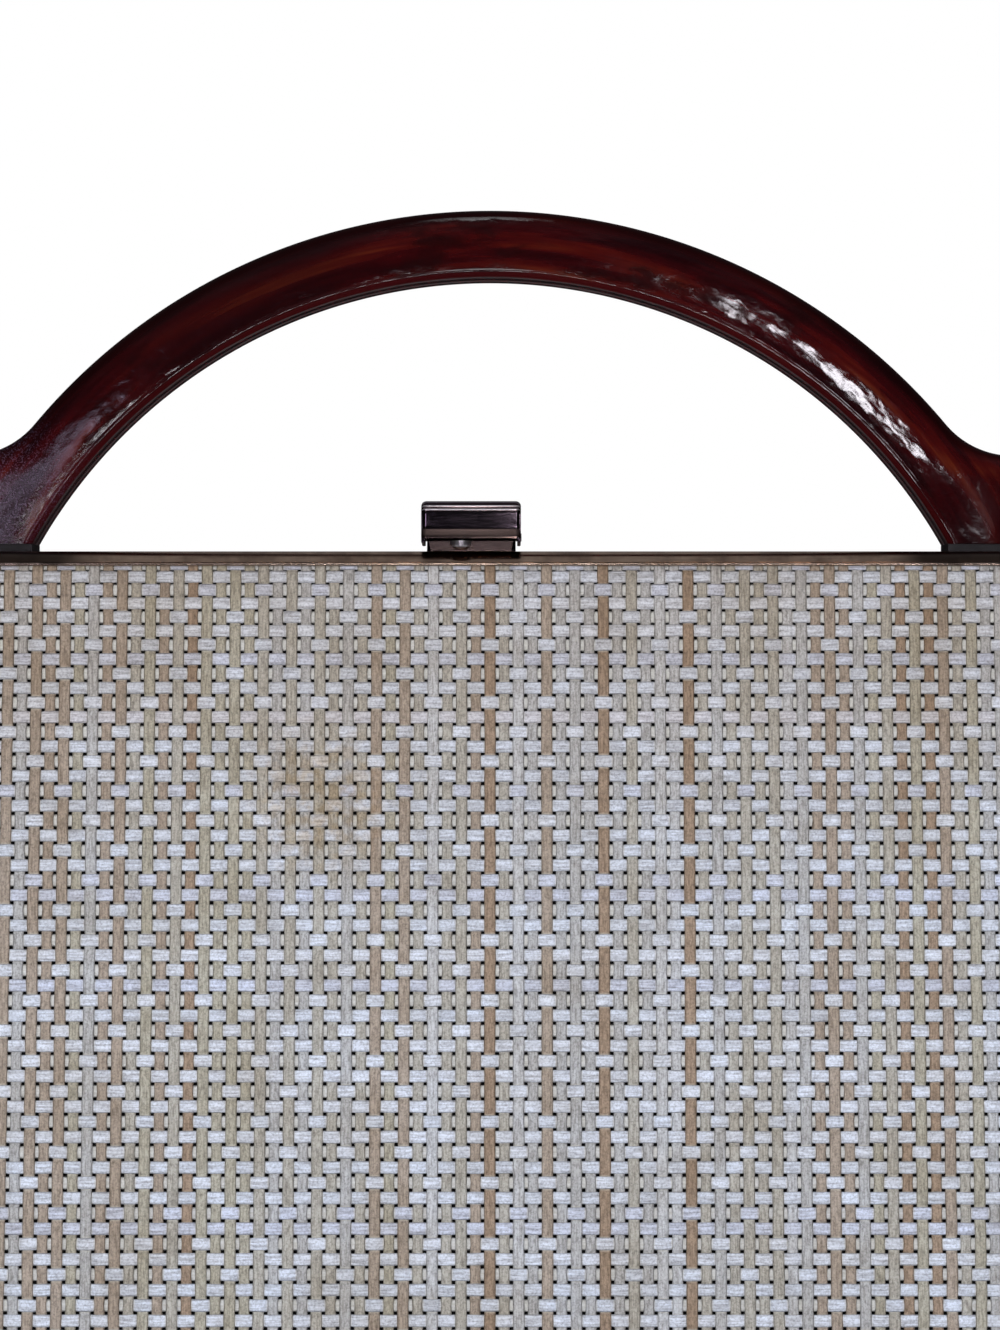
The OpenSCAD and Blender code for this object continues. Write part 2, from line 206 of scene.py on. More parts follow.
foot = jointPlace("front_hinge")
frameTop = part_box("front_frame")[1].z
underTop = frameTop - 0.05 * mm
topFace = min(v.co.y for v in nodes["front_frame"].data.vertices if v.co.z > underTop)
slope = (topFace - foot.y) / (frameTop - foot.z)
lean = math.atan(slope)
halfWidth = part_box("rear_frame")[1].x
flapLow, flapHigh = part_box("clasp_flap")
claspX = (flapLow.x + flapHigh.x) / 2


def faceY(z, depth):
    # Where the front's plane at that depth stands at height z
    return foot.y + (z - foot.z) * slope + depth / math.cos(lean)


# Straw: a tone per strand, mottled and fibrous, creamier where it dips, warmer and darker towards the top, a
# painted shade
straw = {
    "warpStops": [
        (0.00, srgb(184, 184, 187)),
        (0.24, srgb(180, 176, 169)),
        (0.46, srgb(177, 172, 159)),
        (0.60, srgb(170, 156, 144)),
        (0.815, srgb(161, 140, 122)),
        (0.92, srgb(195, 196, 201)),
    ],
    "weftStops": [
        (0.00, srgb(210, 216, 231)),
        (0.35, srgb(216, 221, 235)),
        (0.70, srgb(204, 209, 228)),
        (0.90, srgb(212, 212, 223)),
    ],
    "streakStops": [(0.30, srgb(178, 173, 168)), (0.60, white)],
    "spotStops": [(0.32, srgb(188, 186, 186)), (0.56, white)],
    "stainStops": [(0.34, white), (0.72, srgb(228, 220, 208))],
    "dip": srgb(206, 200, 187),
    # Painted shade of the top: a warm grey
    "warmTopShade": srgb(235, 227, 218),
    "warmTopShadeRange": (110 * mm, 190 * mm),
    "spill": srgb(226, 203, 168),
    "spillPlace": (-38 * mm, -18 * mm, 140 * mm),
    "spillReach": (6 * mm, 24 * mm),
    "warpStretch": (2400.0, 2400.0, 190.0),
    "weftStretch": (190.0, 190.0, 2400.0),
    "spotScale": 1900.0,
    "stainScale": 55.0,
    "spillScale": 320.0,
    "grain": 0.16 * mm,
}


def strawMaterial(name, stops, stretch):
    material, tree, shader = newMaterial(name, {"Roughness": 0.68, "Specular IOR Level": 0.25})
    place = objectSpace(tree)
    fibre = noise(tree, objectSpace(tree, stretch), 1.0, 4.0, 0.6)
    mottle = noise(tree, place, straw["spotScale"], 3.0, 0.65)
    stain = noise(tree, place, straw["stainScale"], 3.0, 0.55)
    base = ramp(tree, attribute(tree, "tone"), stops, "CONSTANT")
    streaked = mixColour(tree, 0.85, base, ramp(tree, fibre, straw["streakStops"]), "MULTIPLY")
    spotted = mixColour(tree, 0.8, streaked, ramp(tree, mottle, straw["spotStops"]), "MULTIPLY")
    stained = mixColour(tree, 0.8, spotted, ramp(tree, stain, straw["stainStops"]), "MULTIPLY")
    # Painted shade: a warm grey multiplied in towards the top darkens the straw there
    towardsTop = smooth(tree, axesOf(tree, place)["Z"], *straw["warmTopShadeRange"], 0.0, 0.9)
    warmTopShade = mixColour(tree, towardsTop, stained, straw["warmTopShade"], "MULTIPLY")
    fromSpill = vectorCalc(tree, "DISTANCE", place, straw["spillPlace"])
    ragged = smooth(tree, noise(tree, place, straw["spillScale"], 3.0, 0.6), 0.36, 0.62, 0.2, 1.0)
    spilt = calc(tree, "MULTIPLY", smooth(tree, fromSpill, *straw["spillReach"], 0.75, 0.0), ragged)
    wearAndShine = mixColour(tree, spilt, warmTopShade, straw["spill"], "MULTIPLY")
    deep = smooth(tree, attribute(tree, "lift"), -0.9, 0.1, 0.6, 0.0)
    tree.links.new(mixColour(tree, deep, wearAndShine, straw["dip"]), shader.inputs["Base Color"])
    bump(tree, shader, calc(tree, "ADD", fibre, mottle), 0.5, straw["grain"])
    return material


strawWarp = strawMaterial("straw_warp", straw["warpStops"], straw["warpStretch"])
strawWeft = strawMaterial("straw_weft", straw["weftStops"], straw["weftStretch"])

# Black board behind the weave: matt, with faint specks
boardMaterial, tree, shader = newMaterial("black_board", {"Roughness": 0.85})
specks = noise(tree, objectSpace(tree), 900.0, 4.0)
blacks = ramp(tree, specks, [(0.35, srgb(9, 8, 8)), (0.75, srgb(24, 21, 20))])
tree.links.new(blacks, shader.inputs["Base Color"])
bump(tree, shader, specks, 0.2, 0.1 * mm)

# Aged brass: brown-grey clouds, rubbed bright on the bead, partly a painted highlight, dull on top,
# and near black on the front bar beside the feet and under the clasp, a painted shadow and reflection
brass = {
    "patina": [(0.30, srgb(128, 106, 91)), (0.52, srgb(168, 144, 125)), (0.72, srgb(188, 164, 143))],
    "marks": [(0.3, srgb(206, 202, 198)), (0.7, white)],
    "rubAndShine": srgb(186, 164, 149),
    # Painted shadow and reflection on the front bar
    "paintedShadow": srgb(34, 26, 24),
    "besideFeet": (86 * mm, 99 * mm),  # from the middle
    "underClasp": (10.2 * mm, 12.0 * mm),  # from the clasp's middle
    "barBand": (4 * mm, 2.8 * mm),  # below the frame's top
    "barFront": (-8 * mm, -6 * mm),
    "dullBand": (0.25 * mm, 0.05 * mm),  # below the frame's top
    "cloudScale": 140.0,
    "patchScale": 230.0,
    "markStretch": (90.0, 1400.0, 1400.0),
}
brassMaterial, tree, shader = newMaterial("aged_brass", {"Metallic": 1.0})
place = objectSpace(tree)
axes = axesOf(tree, place)
clouds = noise(tree, place, brass["cloudScale"], 6.0, 0.62)
rub = noise(tree, objectSpace(tree, brass["markStretch"]), 1.0, 3.0, 0.6)
aged = mixColour(tree, 0.6, ramp(tree, clouds, brass["patina"]), ramp(tree, rub, brass["marks"]), "MULTIPLY")
fromClasp = apart(tree, axes["X"], claspX)
# Painted shadow and reflection: the front bar goes near black beside the handle's feet and darker under the
# clasp
paintedShadowMask = calc(
    tree, "MAXIMUM",
    smooth(tree, calc(tree, "ABSOLUTE", axes["X"]), *brass["besideFeet"], 0.0, 0.9),
    smooth(tree, fromClasp, *brass["underClasp"], 0.25, 0.0),
)
barLow, barHigh = [frameTop - drop for drop in brass["barBand"]]
onBar = calc(
    tree, "MULTIPLY",
    smooth(tree, axes["Z"], barLow, barHigh, 0.0, 1.0),
    smooth(tree, axes["Y"], *brass["barFront"], 1.0, 0.0),
)
paintedShadow = mixColour(tree, calc(tree, "MULTIPLY", paintedShadowMask, onBar), aged, brass["paintedShadow"])
patches = smooth(tree, noise(tree, place, brass["patchScale"], 3.0, 0.6), 0.38, 0.6, 0.15, 1.0)
# The bead's rub, broken into patches, is wear and a painted highlight
rubAndShine = calc(tree, "MULTIPLY", attribute(tree, "wearAndShine"), patches)
tree.links.new(mixColour(tree, rubAndShine, paintedShadow, brass["rubAndShine"]), shader.inputs["Base Color"])
polish = smooth(tree, clouds, 0.3, 0.75, 0.24, 0.13)
dullLow, dullHigh = [frameTop - drop for drop in brass["dullBand"]]
dulled = smooth(tree, axes["Z"], dullLow, dullHigh, 0.0, 0.55)
tree.links.new(calc(tree, "MAXIMUM", polish, dulled), shader.inputs["Roughness"])
bump(tree, shader, rub, 0.03, 0.05 * mm)

# Polished gunmetal, browner where it is a little rubbed and silvery and rougher where it is rubbed through,
# the rub partly painted light
gunmetal = {
    "blued": [(0.3, srgb(74, 64, 72)), (0.7, srgb(104, 92, 100))],
    "browned": srgb(124, 104, 98),
    "silvery": srgb(222, 216, 220),
    "smearScale": 260.0,
    "scratchStretch": (300.0, 4200.0, 4200.0),
    "rubShineRoughness": 0.34,
}
darkMaterial, tree, shader = newMaterial("gunmetal", {"Metallic": 1.0})
smears = noise(tree, objectSpace(tree), gunmetal["smearScale"], 5.0, 0.6)
scratches = noise(tree, objectSpace(tree, gunmetal["scratchStretch"]), 1.0, 3.0, 0.7)
# The rub is real wear on the catch and most of the stud; on the flap's lip it is a painted reflection, on
# its pressed lines and ends and on the stud's crown a painted highlight
rubAndShine = attribute(tree, "wearAndShine")
blued = ramp(tree, smears, gunmetal["blued"])
browned = mixColour(tree, smooth(tree, rubAndShine, 0.0, 0.3, 0.0, 1.0), blued, gunmetal["browned"])
silvery = mixColour(tree, smooth(tree, rubAndShine, 0.3, 0.95, 0.0, 1.0), browned, gunmetal["silvery"])
tree.links.new(silvery, shader.inputs["Base Color"])
polish = smooth(tree, scratches, 0.25, 0.8, 0.08, 0.18)
tree.links.new(blendOf(tree, rubAndShine, polish, gunmetal["rubShineRoughness"]), shader.inputs["Roughness"])
bump(tree, shader, scratches, 0.05, 0.03 * mm)

# Dull black lacquer of the seats under the feet
seatMaterial, tree, shader = newMaterial("black_lacquer", {"Roughness": 0.55})
dust = noise(tree, objectSpace(tree), 420.0, 4.0, 0.6)
lacquer = ramp(tree, dust, [(0.35, srgb(14, 11, 13)), (0.75, srgb(32, 27, 29))])
tree.links.new(lacquer, shader.inputs["Base Color"])
bump(tree, shader, dust, 0.1, 0.05 * mm)

# Resin of the handle: soft streaks along the arch, blotches, a painted shade towards the outer rim, a
# painted sheen on the left foot, and a slightly wavy polish
resin = {
    "bodyStops": [
        (0.32, srgb(23, 2, 4)),
        (0.50, srgb(43, 4, 6)),
        (0.64, srgb(58, 9, 7)),
        (0.82, srgb(82, 30, 14)),
    ],
    # Colour of the painted shade towards the outer rim
    "rim": srgb(12, 2, 2),
    "blotch": srgb(22, 4, 5),
    "inner": srgb(54, 9, 11),
    # Colour of the painted sheen on the left foot
    "footSheen": srgb(124, 104, 132),
    "streakScale": (20.0, 260.0, 170.0),
    "hairScale": (46.0, 900.0, 500.0),
    "blotchScale": (42.0, 110.0, 90.0),
    "waveScale": (62.0, 120.0, 120.0),
    "speckleScale": 2600.0,
    "waveHeight": 0.42 * mm,
    "sheen": 0.36,
    # Distances along the handle from its left end
    "darkStretch": (85 * mm, 45 * mm),  # middle and reach
    "darkFoot": (255 * mm, 285 * mm),
    "calmFoot": (258 * mm, 280 * mm),
    "roughFoot": (22 * mm, 60 * mm),
    "footSheenReach": (12 * mm, 40 * mm),
    "footSheenFront": (-7.0 * mm, -5.0 * mm),  # behind this no sheen is painted on the foot
    # Distances in from the outer rim
    "heart": (7.5 * mm, 5.0 * mm),  # middle and reach
    "rimFade": (0.5 * mm, 4.2 * mm),
    "rimLine": 0.4 * mm,
    "rimDull": (0.05 * mm, 0.6 * mm),
    "rimSheen": (1.3 * mm, 4.5 * mm),
    "rimWaves": (0.3 * mm, 4.0 * mm),
    # Distances out from the inner edge
    "innerBand": (0.9 * mm, 1.4 * mm),
    "innerSheen": (0.95 * mm, 1.25 * mm),
}
resinMaterial, tree, shader = newMaterial("streaked_resin", {})
flow = attribute(tree, "flow", "Vector")
along = axesOf(tree, flow)
rimGap = attribute(tree, "rim")
innerGap = attribute(tree, "inner")
streaks = noise(tree, stretched(tree, flow, resin["streakScale"]), 1.0, 3.0, 0.5)
hairs = noise(tree, stretched(tree, flow, resin["hairScale"]), 1.0, 3.0, 0.6)
heartMiddle, heartReach = resin["heart"]
heart = smooth(tree, apart(tree, rimGap, heartMiddle), 0.0, heartReach, 0.06, -0.04)
streaked = calc(tree, "MULTIPLY_ADD", calc(tree, "SUBTRACT", hairs, 0.5), 0.35, streaks)
body = ramp(tree, calc(tree, "ADD", streaked, heart), resin["bodyStops"])
blotches = noise(tree, stretched(tree, flow, resin["blotchScale"]), 1.0, 4.0, 0.6)
blotched = mixColour(tree, smooth(tree, blotches, 0.52, 0.68, 0.0, 0.85), body, resin["blotch"])
darkMiddle, darkReach = resin["darkStretch"]
leftDark = smooth(tree, apart(tree, along["X"], darkMiddle), 0.3 * darkReach, darkReach, 0.55, 0.0)
footDark = smooth(tree, along["X"], *resin["darkFoot"], 0.0, 0.4)
darkened = mixColour(tree, calc(tree, "MAXIMUM", leftDark, footDark), blotched, resin["blotch"])
# Painted shade: the resin darkens towards the outer rim, a little less on its very edge
rimPaintedShade = calc(
    tree, "MULTIPLY",
    smooth(tree, rimGap, *resin["rimFade"], 0.85, 0.0),
    smooth(tree, rimGap, 0.0, resin["rimLine"], 0.45, 1.0),
)
rimShaded = mixColour(tree, rimPaintedShade, darkened, resin["rim"])
lined = mixColour(tree, smooth(tree, innerGap, *resin["innerBand"], 0.75, 0.0), rimShaded, resin["inner"])
speckle = noise(tree, flow, resin["speckleScale"], 3.0, 0.6)
# Painted sheen: violet-grey speckles on the left foot, whose bump is rougher
footSheenPlace = calc(
    tree, "MULTIPLY",
    smooth(tree, along["X"], *resin["footSheenReach"], 0.5, 0.0),
    smooth(tree, along["Z"], *resin["footSheenFront"], 1.0, 0.0),
)
footSheenSpots = calc(tree, "MULTIPLY", smooth(tree, speckle, 0.53, 0.63, 0.0, 0.6), footSheenPlace)
tree.links.new(mixColour(tree, footSheenSpots, lined, resin["footSheen"]), shader.inputs["Base Color"])
polish = smooth(tree, speckle, 0.35, 0.65, 0.04, 0.11)
dullRim = smooth(tree, rimGap, *resin["rimDull"], 0.62, 0.0)
tree.links.new(calc(tree, "MAXIMUM", polish, dullRim), shader.inputs["Roughness"])
sheen = calc(
    tree, "MULTIPLY",
    smooth(tree, rimGap, *resin["rimSheen"], 0.04, resin["sheen"]),
    smooth(tree, innerGap, *resin["innerSheen"], 0.2, 1.0),
)
tree.links.new(sheen, shader.inputs["Specular IOR Level"])
waves = noise(tree, stretched(tree, flow, resin["waveScale"]), 1.0, 3.0, 0.5)
rimWaves = calc(tree, "MULTIPLY", waves, smooth(tree, rimGap, *resin["rimWaves"], 0.06, 1.0))
calmWaves = calc(tree, "MULTIPLY", rimWaves, smooth(tree, along["X"], *resin["calmFoot"], 1.0, 0.4))
roughness = smooth(tree, along["X"], *resin["roughFoot"], 0.075, 0.018)
bump(tree, shader, calc(tree, "MULTIPLY_ADD", speckle, roughness, calmWaves), 1.0, resin["waveHeight"])

# Lining cloth: a fine plain weave
cloth = {
    "threads": [(0.36, srgb(142, 120, 94)), (0.62, srgb(186, 164, 132))],
    "slub": srgb(150, 126, 98),
    "threadStretches": ((5200.0, 400.0, 400.0), (400.0, 400.0, 5200.0)),
}
clothMaterial, tree, shader = newMaterial("lining_cloth", {"Roughness": 0.9, "Sheen Weight": 0.25})
threads = [noise(tree, objectSpace(tree, stretch), 1.0, 2.0) for stretch in cloth["threadStretches"]]
thread = calc(tree, "MULTIPLY", calc(tree, "ADD", threads[0], threads[1]), 0.5)
slubs = smooth(tree, noise(tree, objectSpace(tree), 60.0, 3.0), 0.4, 0.7, 0.0, 0.35)
woven = ramp(tree, thread, cloth["threads"])
tree.links.new(mixColour(tree, slubs, woven, cloth["slub"]), shader.inputs["Base Color"])
bump(tree, shader, thread, 0.4, 0.15 * mm)

# Leather of the base: pebbled grain
hide = {
    "tones": [(0.3, srgb(62, 36, 24)), (0.7, srgb(92, 56, 36))],
    "crease": srgb(38, 22, 15),
    "pebbleScale": 900.0,
}
hideMaterial, tree, shader = newMaterial("base_leather", {"Roughness": 0.55})
cells = tree.nodes.new("ShaderNodeTexVoronoi")
cells.feature = "DISTANCE_TO_EDGE"
cells.inputs["Scale"].default_value = hide["pebbleScale"]
tree.links.new(objectSpace(tree), cells.inputs["Vector"])
pebble = smooth(tree, cells.outputs["Distance"], 0.0, 0.25, 0.0, 1.0)
leather = ramp(tree, noise(tree, objectSpace(tree), 45.0, 5.0), hide["tones"])
creases = smooth(tree, pebble, 0.0, 0.6, 0.45, 0.0)
tree.links.new(mixColour(tree, creases, leather, hide["crease"]), shader.inputs["Base Color"])
bump(tree, shader, pebble, 0.5, 0.2 * mm)
print("materials made")


# Small helpers for pieces
def emptyObject(name):
    made = bpy.data.objects.new(name, bpy.data.meshes.new(name))
    bpy.context.scene.collection.objects.link(made)
    return made


def pieceFrom(mesh, name, material):
    piece = emptyObject(name)
    mesh.to_mesh(piece.data)
    mesh.free()
    piece.data.materials.append(material)
    return piece


def finishPiece(piece, body, slot, *replaced):
    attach(piece, body)
    if replaced:
        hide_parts(*replaced)


def applied(piece):
    # The piece with its modifiers made real
    depsgraph = bpy.context.evaluated_depsgraph_get()
    mesh = bpy.data.meshes.new_from_object(piece.evaluated_get(depsgraph), depsgraph=depsgraph)
    piece.modifiers.clear()
    piece.data = mesh
    return piece


def smoothPiece(piece, degrees=34):
    piece.data.shade_smooth()
    piece.data.set_sharp_from_angle(angle=math.radians(degrees))


def soften(piece, width, segments=3):
    # Rounded edges between faces that stay flat
    piece.data.shade_smooth()
    bevel = piece.modifiers.new("soften", "BEVEL")
    bevel.width = width
    bevel.segments = segments
    bevel.limit_method = "ANGLE"
    bevel.angle_limit = math.radians(40)
    flats = piece.modifiers.new("flats", "WEIGHTED_NORMAL")
    flats.weight = 100
    applied(piece)


def joinRings(mesh, rings):
    # Faces between closed rings of points
    for first, second in zip(rings, rings[1:]):
        for j in range(len(first)):
            k = (j + 1) % len(first)
            mesh.faces.new((first[j], first[k], second[k], second[j]))


# Weave: uprights and rows are tubes whose height follows a four-row rule
weave = {
    "strandPitch": 3.2 * mm,
    "rowPitch": 3.36 * mm,
    "firstRow": 5.9 * mm,
    "squeeze": 1.9 * mm,  # how much closer the rows get towards the top
    "squeezeRows": 4.5,
    "wide": 2.5 * mm,
    "narrow": 2.35 * mm,
    "waist": (0.92, 1.06),  # width of a narrow upright on a row and between rows
    "rowWidth": 2.72 * mm,
    "thickness": 0.6 * mm,
    "squareness": 0.5,
    "lift": 0.36 * mm,
    "middle": 1.9 * mm,
    "waver": 0.34 * mm,
    "rowWave": (21.0, 7.3),
    "uprightWave": (17.0, 5.1),
    # Distances from a crossing, in steps, between which a strand sinks or rises
    "rowSlopes": ((0.26, 0.74), (0.26, 0.76)),  # even rows, odd rows
    "uprightSlopes": ((0.25, 0.80), (0.25, 0.88)),  # narrow uprights, wide ones
    "leafStrands": 40.667,  # from a leaf's middle to its edge
    "panelShare": 0.7,  # of the bag's height
}
weaveInputs = {
    "NodeSocketInt": ("Strands", "First", "Segments", "Seed"),
    "NodeSocketFloat": (
        "Strand pitch", "Row pitch", "First row", "Squeeze", "Start", "End",
        "Left edge", "Left slope", "Right edge", "Right slope",
        "Wide", "Narrow", "Thickness", "Lift", "Waver",
    ),
    "NodeSocketVector": ("Origin", "Across", "Down", "Outward"),
    "NodeSocketMaterial": ("Material",),
}


def store(tree, geometry, name, value, domain):
    node = tree.nodes.new("GeometryNodeStoreNamedAttribute")
    node.data_type = "FLOAT"
    node.domain = domain
    node.inputs["Name"].default_value = name
    tree.links.new(geometry, node.inputs["Geometry"])
    feed(tree, node.inputs["Value"], value)
    return node.outputs["Geometry"]


def wrapped(tree, value, centre, period):
    # Distance to the nearest multiple of the period from centre
    half = period / 2
    shifted = calc(tree, "ADD", calc(tree, "SUBTRACT", value, centre), half)
    turned = calc(tree, "FLOORED_MODULO", shifted, period)
    return apart(tree, turned, half)


def rowPlace(tree, source, row):
    decay = calc(tree, "EXPONENT", calc(tree, "DIVIDE", row, -weave["squeezeRows"]))
    tight = calc(tree, "MULTIPLY", source["Squeeze"], calc(tree, "SUBTRACT", 1.0, decay))
    even = calc(tree, "MULTIPLY_ADD", row, source["Row pitch"], source["First row"])
    return calc(tree, "SUBTRACT", even, tight)


def wavering(tree, source, tube, wave):
    stretch, shift = wave
    alongTube = vectorCalc(tree, "SCALE", tube["axes"]["Z"], scale=stretch)
    ofStrand = vectorCalc(tree, "SCALE", tube["strand"], scale=shift)
    waver = noise(tree, vectorCalc(tree, "ADD", alongTube, ofStrand), 1.0, 1.0)
    return calc(tree, "MULTIPLY", calc(tree, "SUBTRACT", waver, 0.5), source["Waver"])


def rowShape(tree, source, tube):
    # Even rows run over the narrow uprights, odd rows over every second wide one
    overTwo, overFour = weave["rowSlopes"]
    half = calc(tree, "MULTIPLY", source["Wide"], 0.5)
    centre = rowPlace(tree, source, tube["strand"])
    start = calc(tree, "MULTIPLY_ADD", source["Left slope"], centre, source["Left edge"])
    end = calc(tree, "MULTIPLY_ADD", source["Right slope"], centre, source["Right edge"])
    across = blendOf(tree, tube["along"], start, end)
    step = calc(tree, "DIVIDE", across, source["Strand pitch"])
    overNarrow = smooth(tree, wrapped(tree, step, 1.0, 2.0), *overTwo, 1.0, -1.0)
    onlyOne = wrapped(tree, step, calc(tree, "SUBTRACT", tube["fourth"], 1.0), 4.0)
    overOne = smooth(tree, onlyOne, *overFour, 1.0, -1.0)
    lift = blendOf(tree, tube["odd"], overNarrow, overOne)
    middle = calc(tree, "ADD", centre, wavering(tree, source, tube, weave["rowWave"]))
    down = calc(tree, "SUBTRACT", middle, calc(tree, "MULTIPLY", tube["sideways"], half))
    return across, down, lift


def uprightShape(tree, source, tube):
    # A wide upright runs over three rows and under one, a narrow one over and under single rows
    overTwo, overFour = weave["uprightSlopes"]
    half = calc(tree, "MULTIPLY", blendOf(tree, tube["odd"], source["Wide"], source["Narrow"]), 0.5)
    centre = calc(tree, "MULTIPLY", tube["strand"], source["Strand pitch"])
    right = calc(tree, "SUBTRACT", calc(tree, "ADD", centre, half), source["Right edge"])
    left = calc(tree, "SUBTRACT", calc(tree, "SUBTRACT", centre, half), source["Left edge"])
    cut = calc(
        tree, "MAXIMUM",
        calc(tree, "DIVIDE", right, source["Right slope"]),
        calc(tree, "DIVIDE", left, source["Left slope"]),
    )
    cutRow = calc(tree, "DIVIDE", calc(tree, "SUBTRACT", cut, source["First row"]), source["Row pitch"])
    start = calc(tree, "MAXIMUM", source["Start"], cutRow)
    step = blendOf(tree, tube["along"], start, source["End"])
    fromRow = wrapped(tree, step, 1.0, 2.0)
    overRows = smooth(tree, fromRow, *overTwo, 1.0, -1.0)
    onlyOne = wrapped(tree, step, calc(tree, "ADD", tube["fourth"], 1.0), 4.0)
    underOne = smooth(tree, onlyOne, *overFour, -1.0, 1.0)
    lift = blendOf(tree, tube["odd"], underOne, overRows)
    waist = smooth(tree, fromRow, 0.0, 0.7, *weave["waist"])
    shaped = calc(tree, "MULTIPLY", half, blendOf(tree, tube["odd"], 1.0, waist))
    middle = calc(tree, "ADD", centre, wavering(tree, source, tube, weave["uprightWave"]))
    across = calc(tree, "ADD", middle, calc(tree, "MULTIPLY", tube["sideways"], shaped))
    return across, rowPlace(tree, source, step), lift


def weaveTree(name, shape):
    tree = bpy.data.node_groups.new(name, "GeometryNodeTree")
    tree.interface.new_socket("Geometry", in_out="OUTPUT", socket_type="NodeSocketGeometry")
    for kind, labels in weaveInputs.items():
        for label in labels:
            tree.interface.new_socket(label, in_out="INPUT", socket_type=kind)
    source = tree.nodes.new("NodeGroupInput").outputs

    # One tube per strand, carrying its number and a tone
    line = tree.nodes.new("GeometryNodeMeshLine")
    line.inputs["Offset"].default_value = (0.0, 0.0, 0.0)
    tree.links.new(source["Strands"], line.inputs["Count"])
    cylinder = tree.nodes.new("GeometryNodeMeshCylinder")
    cylinder.inputs["Vertices"].default_value = 6
    cylinder.inputs["Radius"].default_value = 1.0
    cylinder.inputs["Depth"].default_value = 1.0
    tree.links.new(source["Segments"], cylinder.inputs["Side Segments"])
    copies = tree.nodes.new("GeometryNodeInstanceOnPoints")
    tree.links.new(line.outputs["Mesh"], copies.inputs["Points"])
    tree.links.new(cylinder.outputs["Mesh"], copies.inputs["Instance"])
    index = tree.nodes.new("GeometryNodeInputIndex").outputs["Index"]
    chance = tree.nodes.new("FunctionNodeRandomValue")
    chance.data_type = "FLOAT"
    tree.links.new(index, chance.inputs["ID"])
    tree.links.new(source["Seed"], chance.inputs["Seed"])
    tone = [socket for socket in chance.outputs if socket.enabled][0]
    number = calc(tree, "ADD", index, source["First"])
    numbered = store(tree, copies.outputs["Instances"], "strand", number, "INSTANCE")
    toned = store(tree, numbered, "tone", tone, "INSTANCE")
    real = tree.nodes.new("GeometryNodeRealizeInstances")
    tree.links.new(toned, real.inputs["Geometry"])

    # Tube coordinates: around in x and y, along in z from 0 to 1
    axes = axesOf(tree, tree.nodes.new("GeometryNodeInputPosition").outputs["Position"])
    flatter = calc(tree, "POWER", calc(tree, "ABSOLUTE", axes["X"]), weave["squareness"])
    strand = tree.nodes.new("GeometryNodeInputNamedAttribute")
    strand.data_type = "FLOAT"
    strand.inputs["Name"].default_value = "strand"
    strandNumber = strand.outputs["Attribute"]
    tube = {
        "axes": axes,
        "sideways": calc(tree, "MULTIPLY", calc(tree, "SIGN", axes["X"]), flatter),
        "along": calc(tree, "ADD", axes["Z"], 0.5),
        "strand": strandNumber,
        "odd": calc(tree, "FLOORED_MODULO", strandNumber, 2.0),
        "fourth": calc(tree, "FLOORED_MODULO", strandNumber, 4.0),
    }
    across, down, lift = shape(tree, source, tube)
    halfThick = calc(tree, "MULTIPLY", source["Thickness"], 0.5)
    out = calc(
        tree, "ADD",
        calc(tree, "MULTIPLY", lift, source["Lift"]),
        calc(tree, "MULTIPLY", axes["Y"], halfThick),
    )
    moves = []
    for direction, distance in (("Across", across), ("Down", down), ("Outward", out)):
        moves.append(vectorCalc(tree, "SCALE", source[direction], scale=distance))
    sideMove = vectorCalc(tree, "ADD", source["Origin"], moves[0])
    place = vectorCalc(tree, "ADD", sideMove, vectorCalc(tree, "ADD", moves[1], moves[2]))
    move = tree.nodes.new("GeometryNodeSetPosition")
    tree.links.new(store(tree, real.outputs["Geometry"], "lift", lift, "POINT"), move.inputs["Geometry"])
    tree.links.new(place, move.inputs["Position"])
    shade = tree.nodes.new("GeometryNodeSetShadeSmooth")
    tree.links.new(move.outputs["Geometry"], shade.inputs["Geometry"])
    paint = tree.nodes.new("GeometryNodeSetMaterial")
    tree.links.new(shade.outputs["Geometry"], paint.inputs["Geometry"])
    tree.links.new(source["Material"], paint.inputs["Material"])
    output = tree.nodes.new("NodeGroupOutput")
    tree.links.new(paint.outputs["Geometry"], output.inputs["Geometry"])
    return tree


def weavePiece(name, tree, values):
    piece = emptyObject(name)
    modifier = piece.modifiers.new("weave", "NODES")
    modifier.node_group = tree
    keys = {item.name: item.identifier for item in tree.interface.items_tree if item.in_out == "INPUT"}
    for label, value in values.items():
        modifier[keys[label]] = value
    applied(piece)
    piece.data.materials.clear()
    piece.data.materials.append(values["Material"])
    return piece


warpTree = weaveTree("weave_uprights", uprightShape)
weftTree = weaveTree("weave_rows", rowShape)


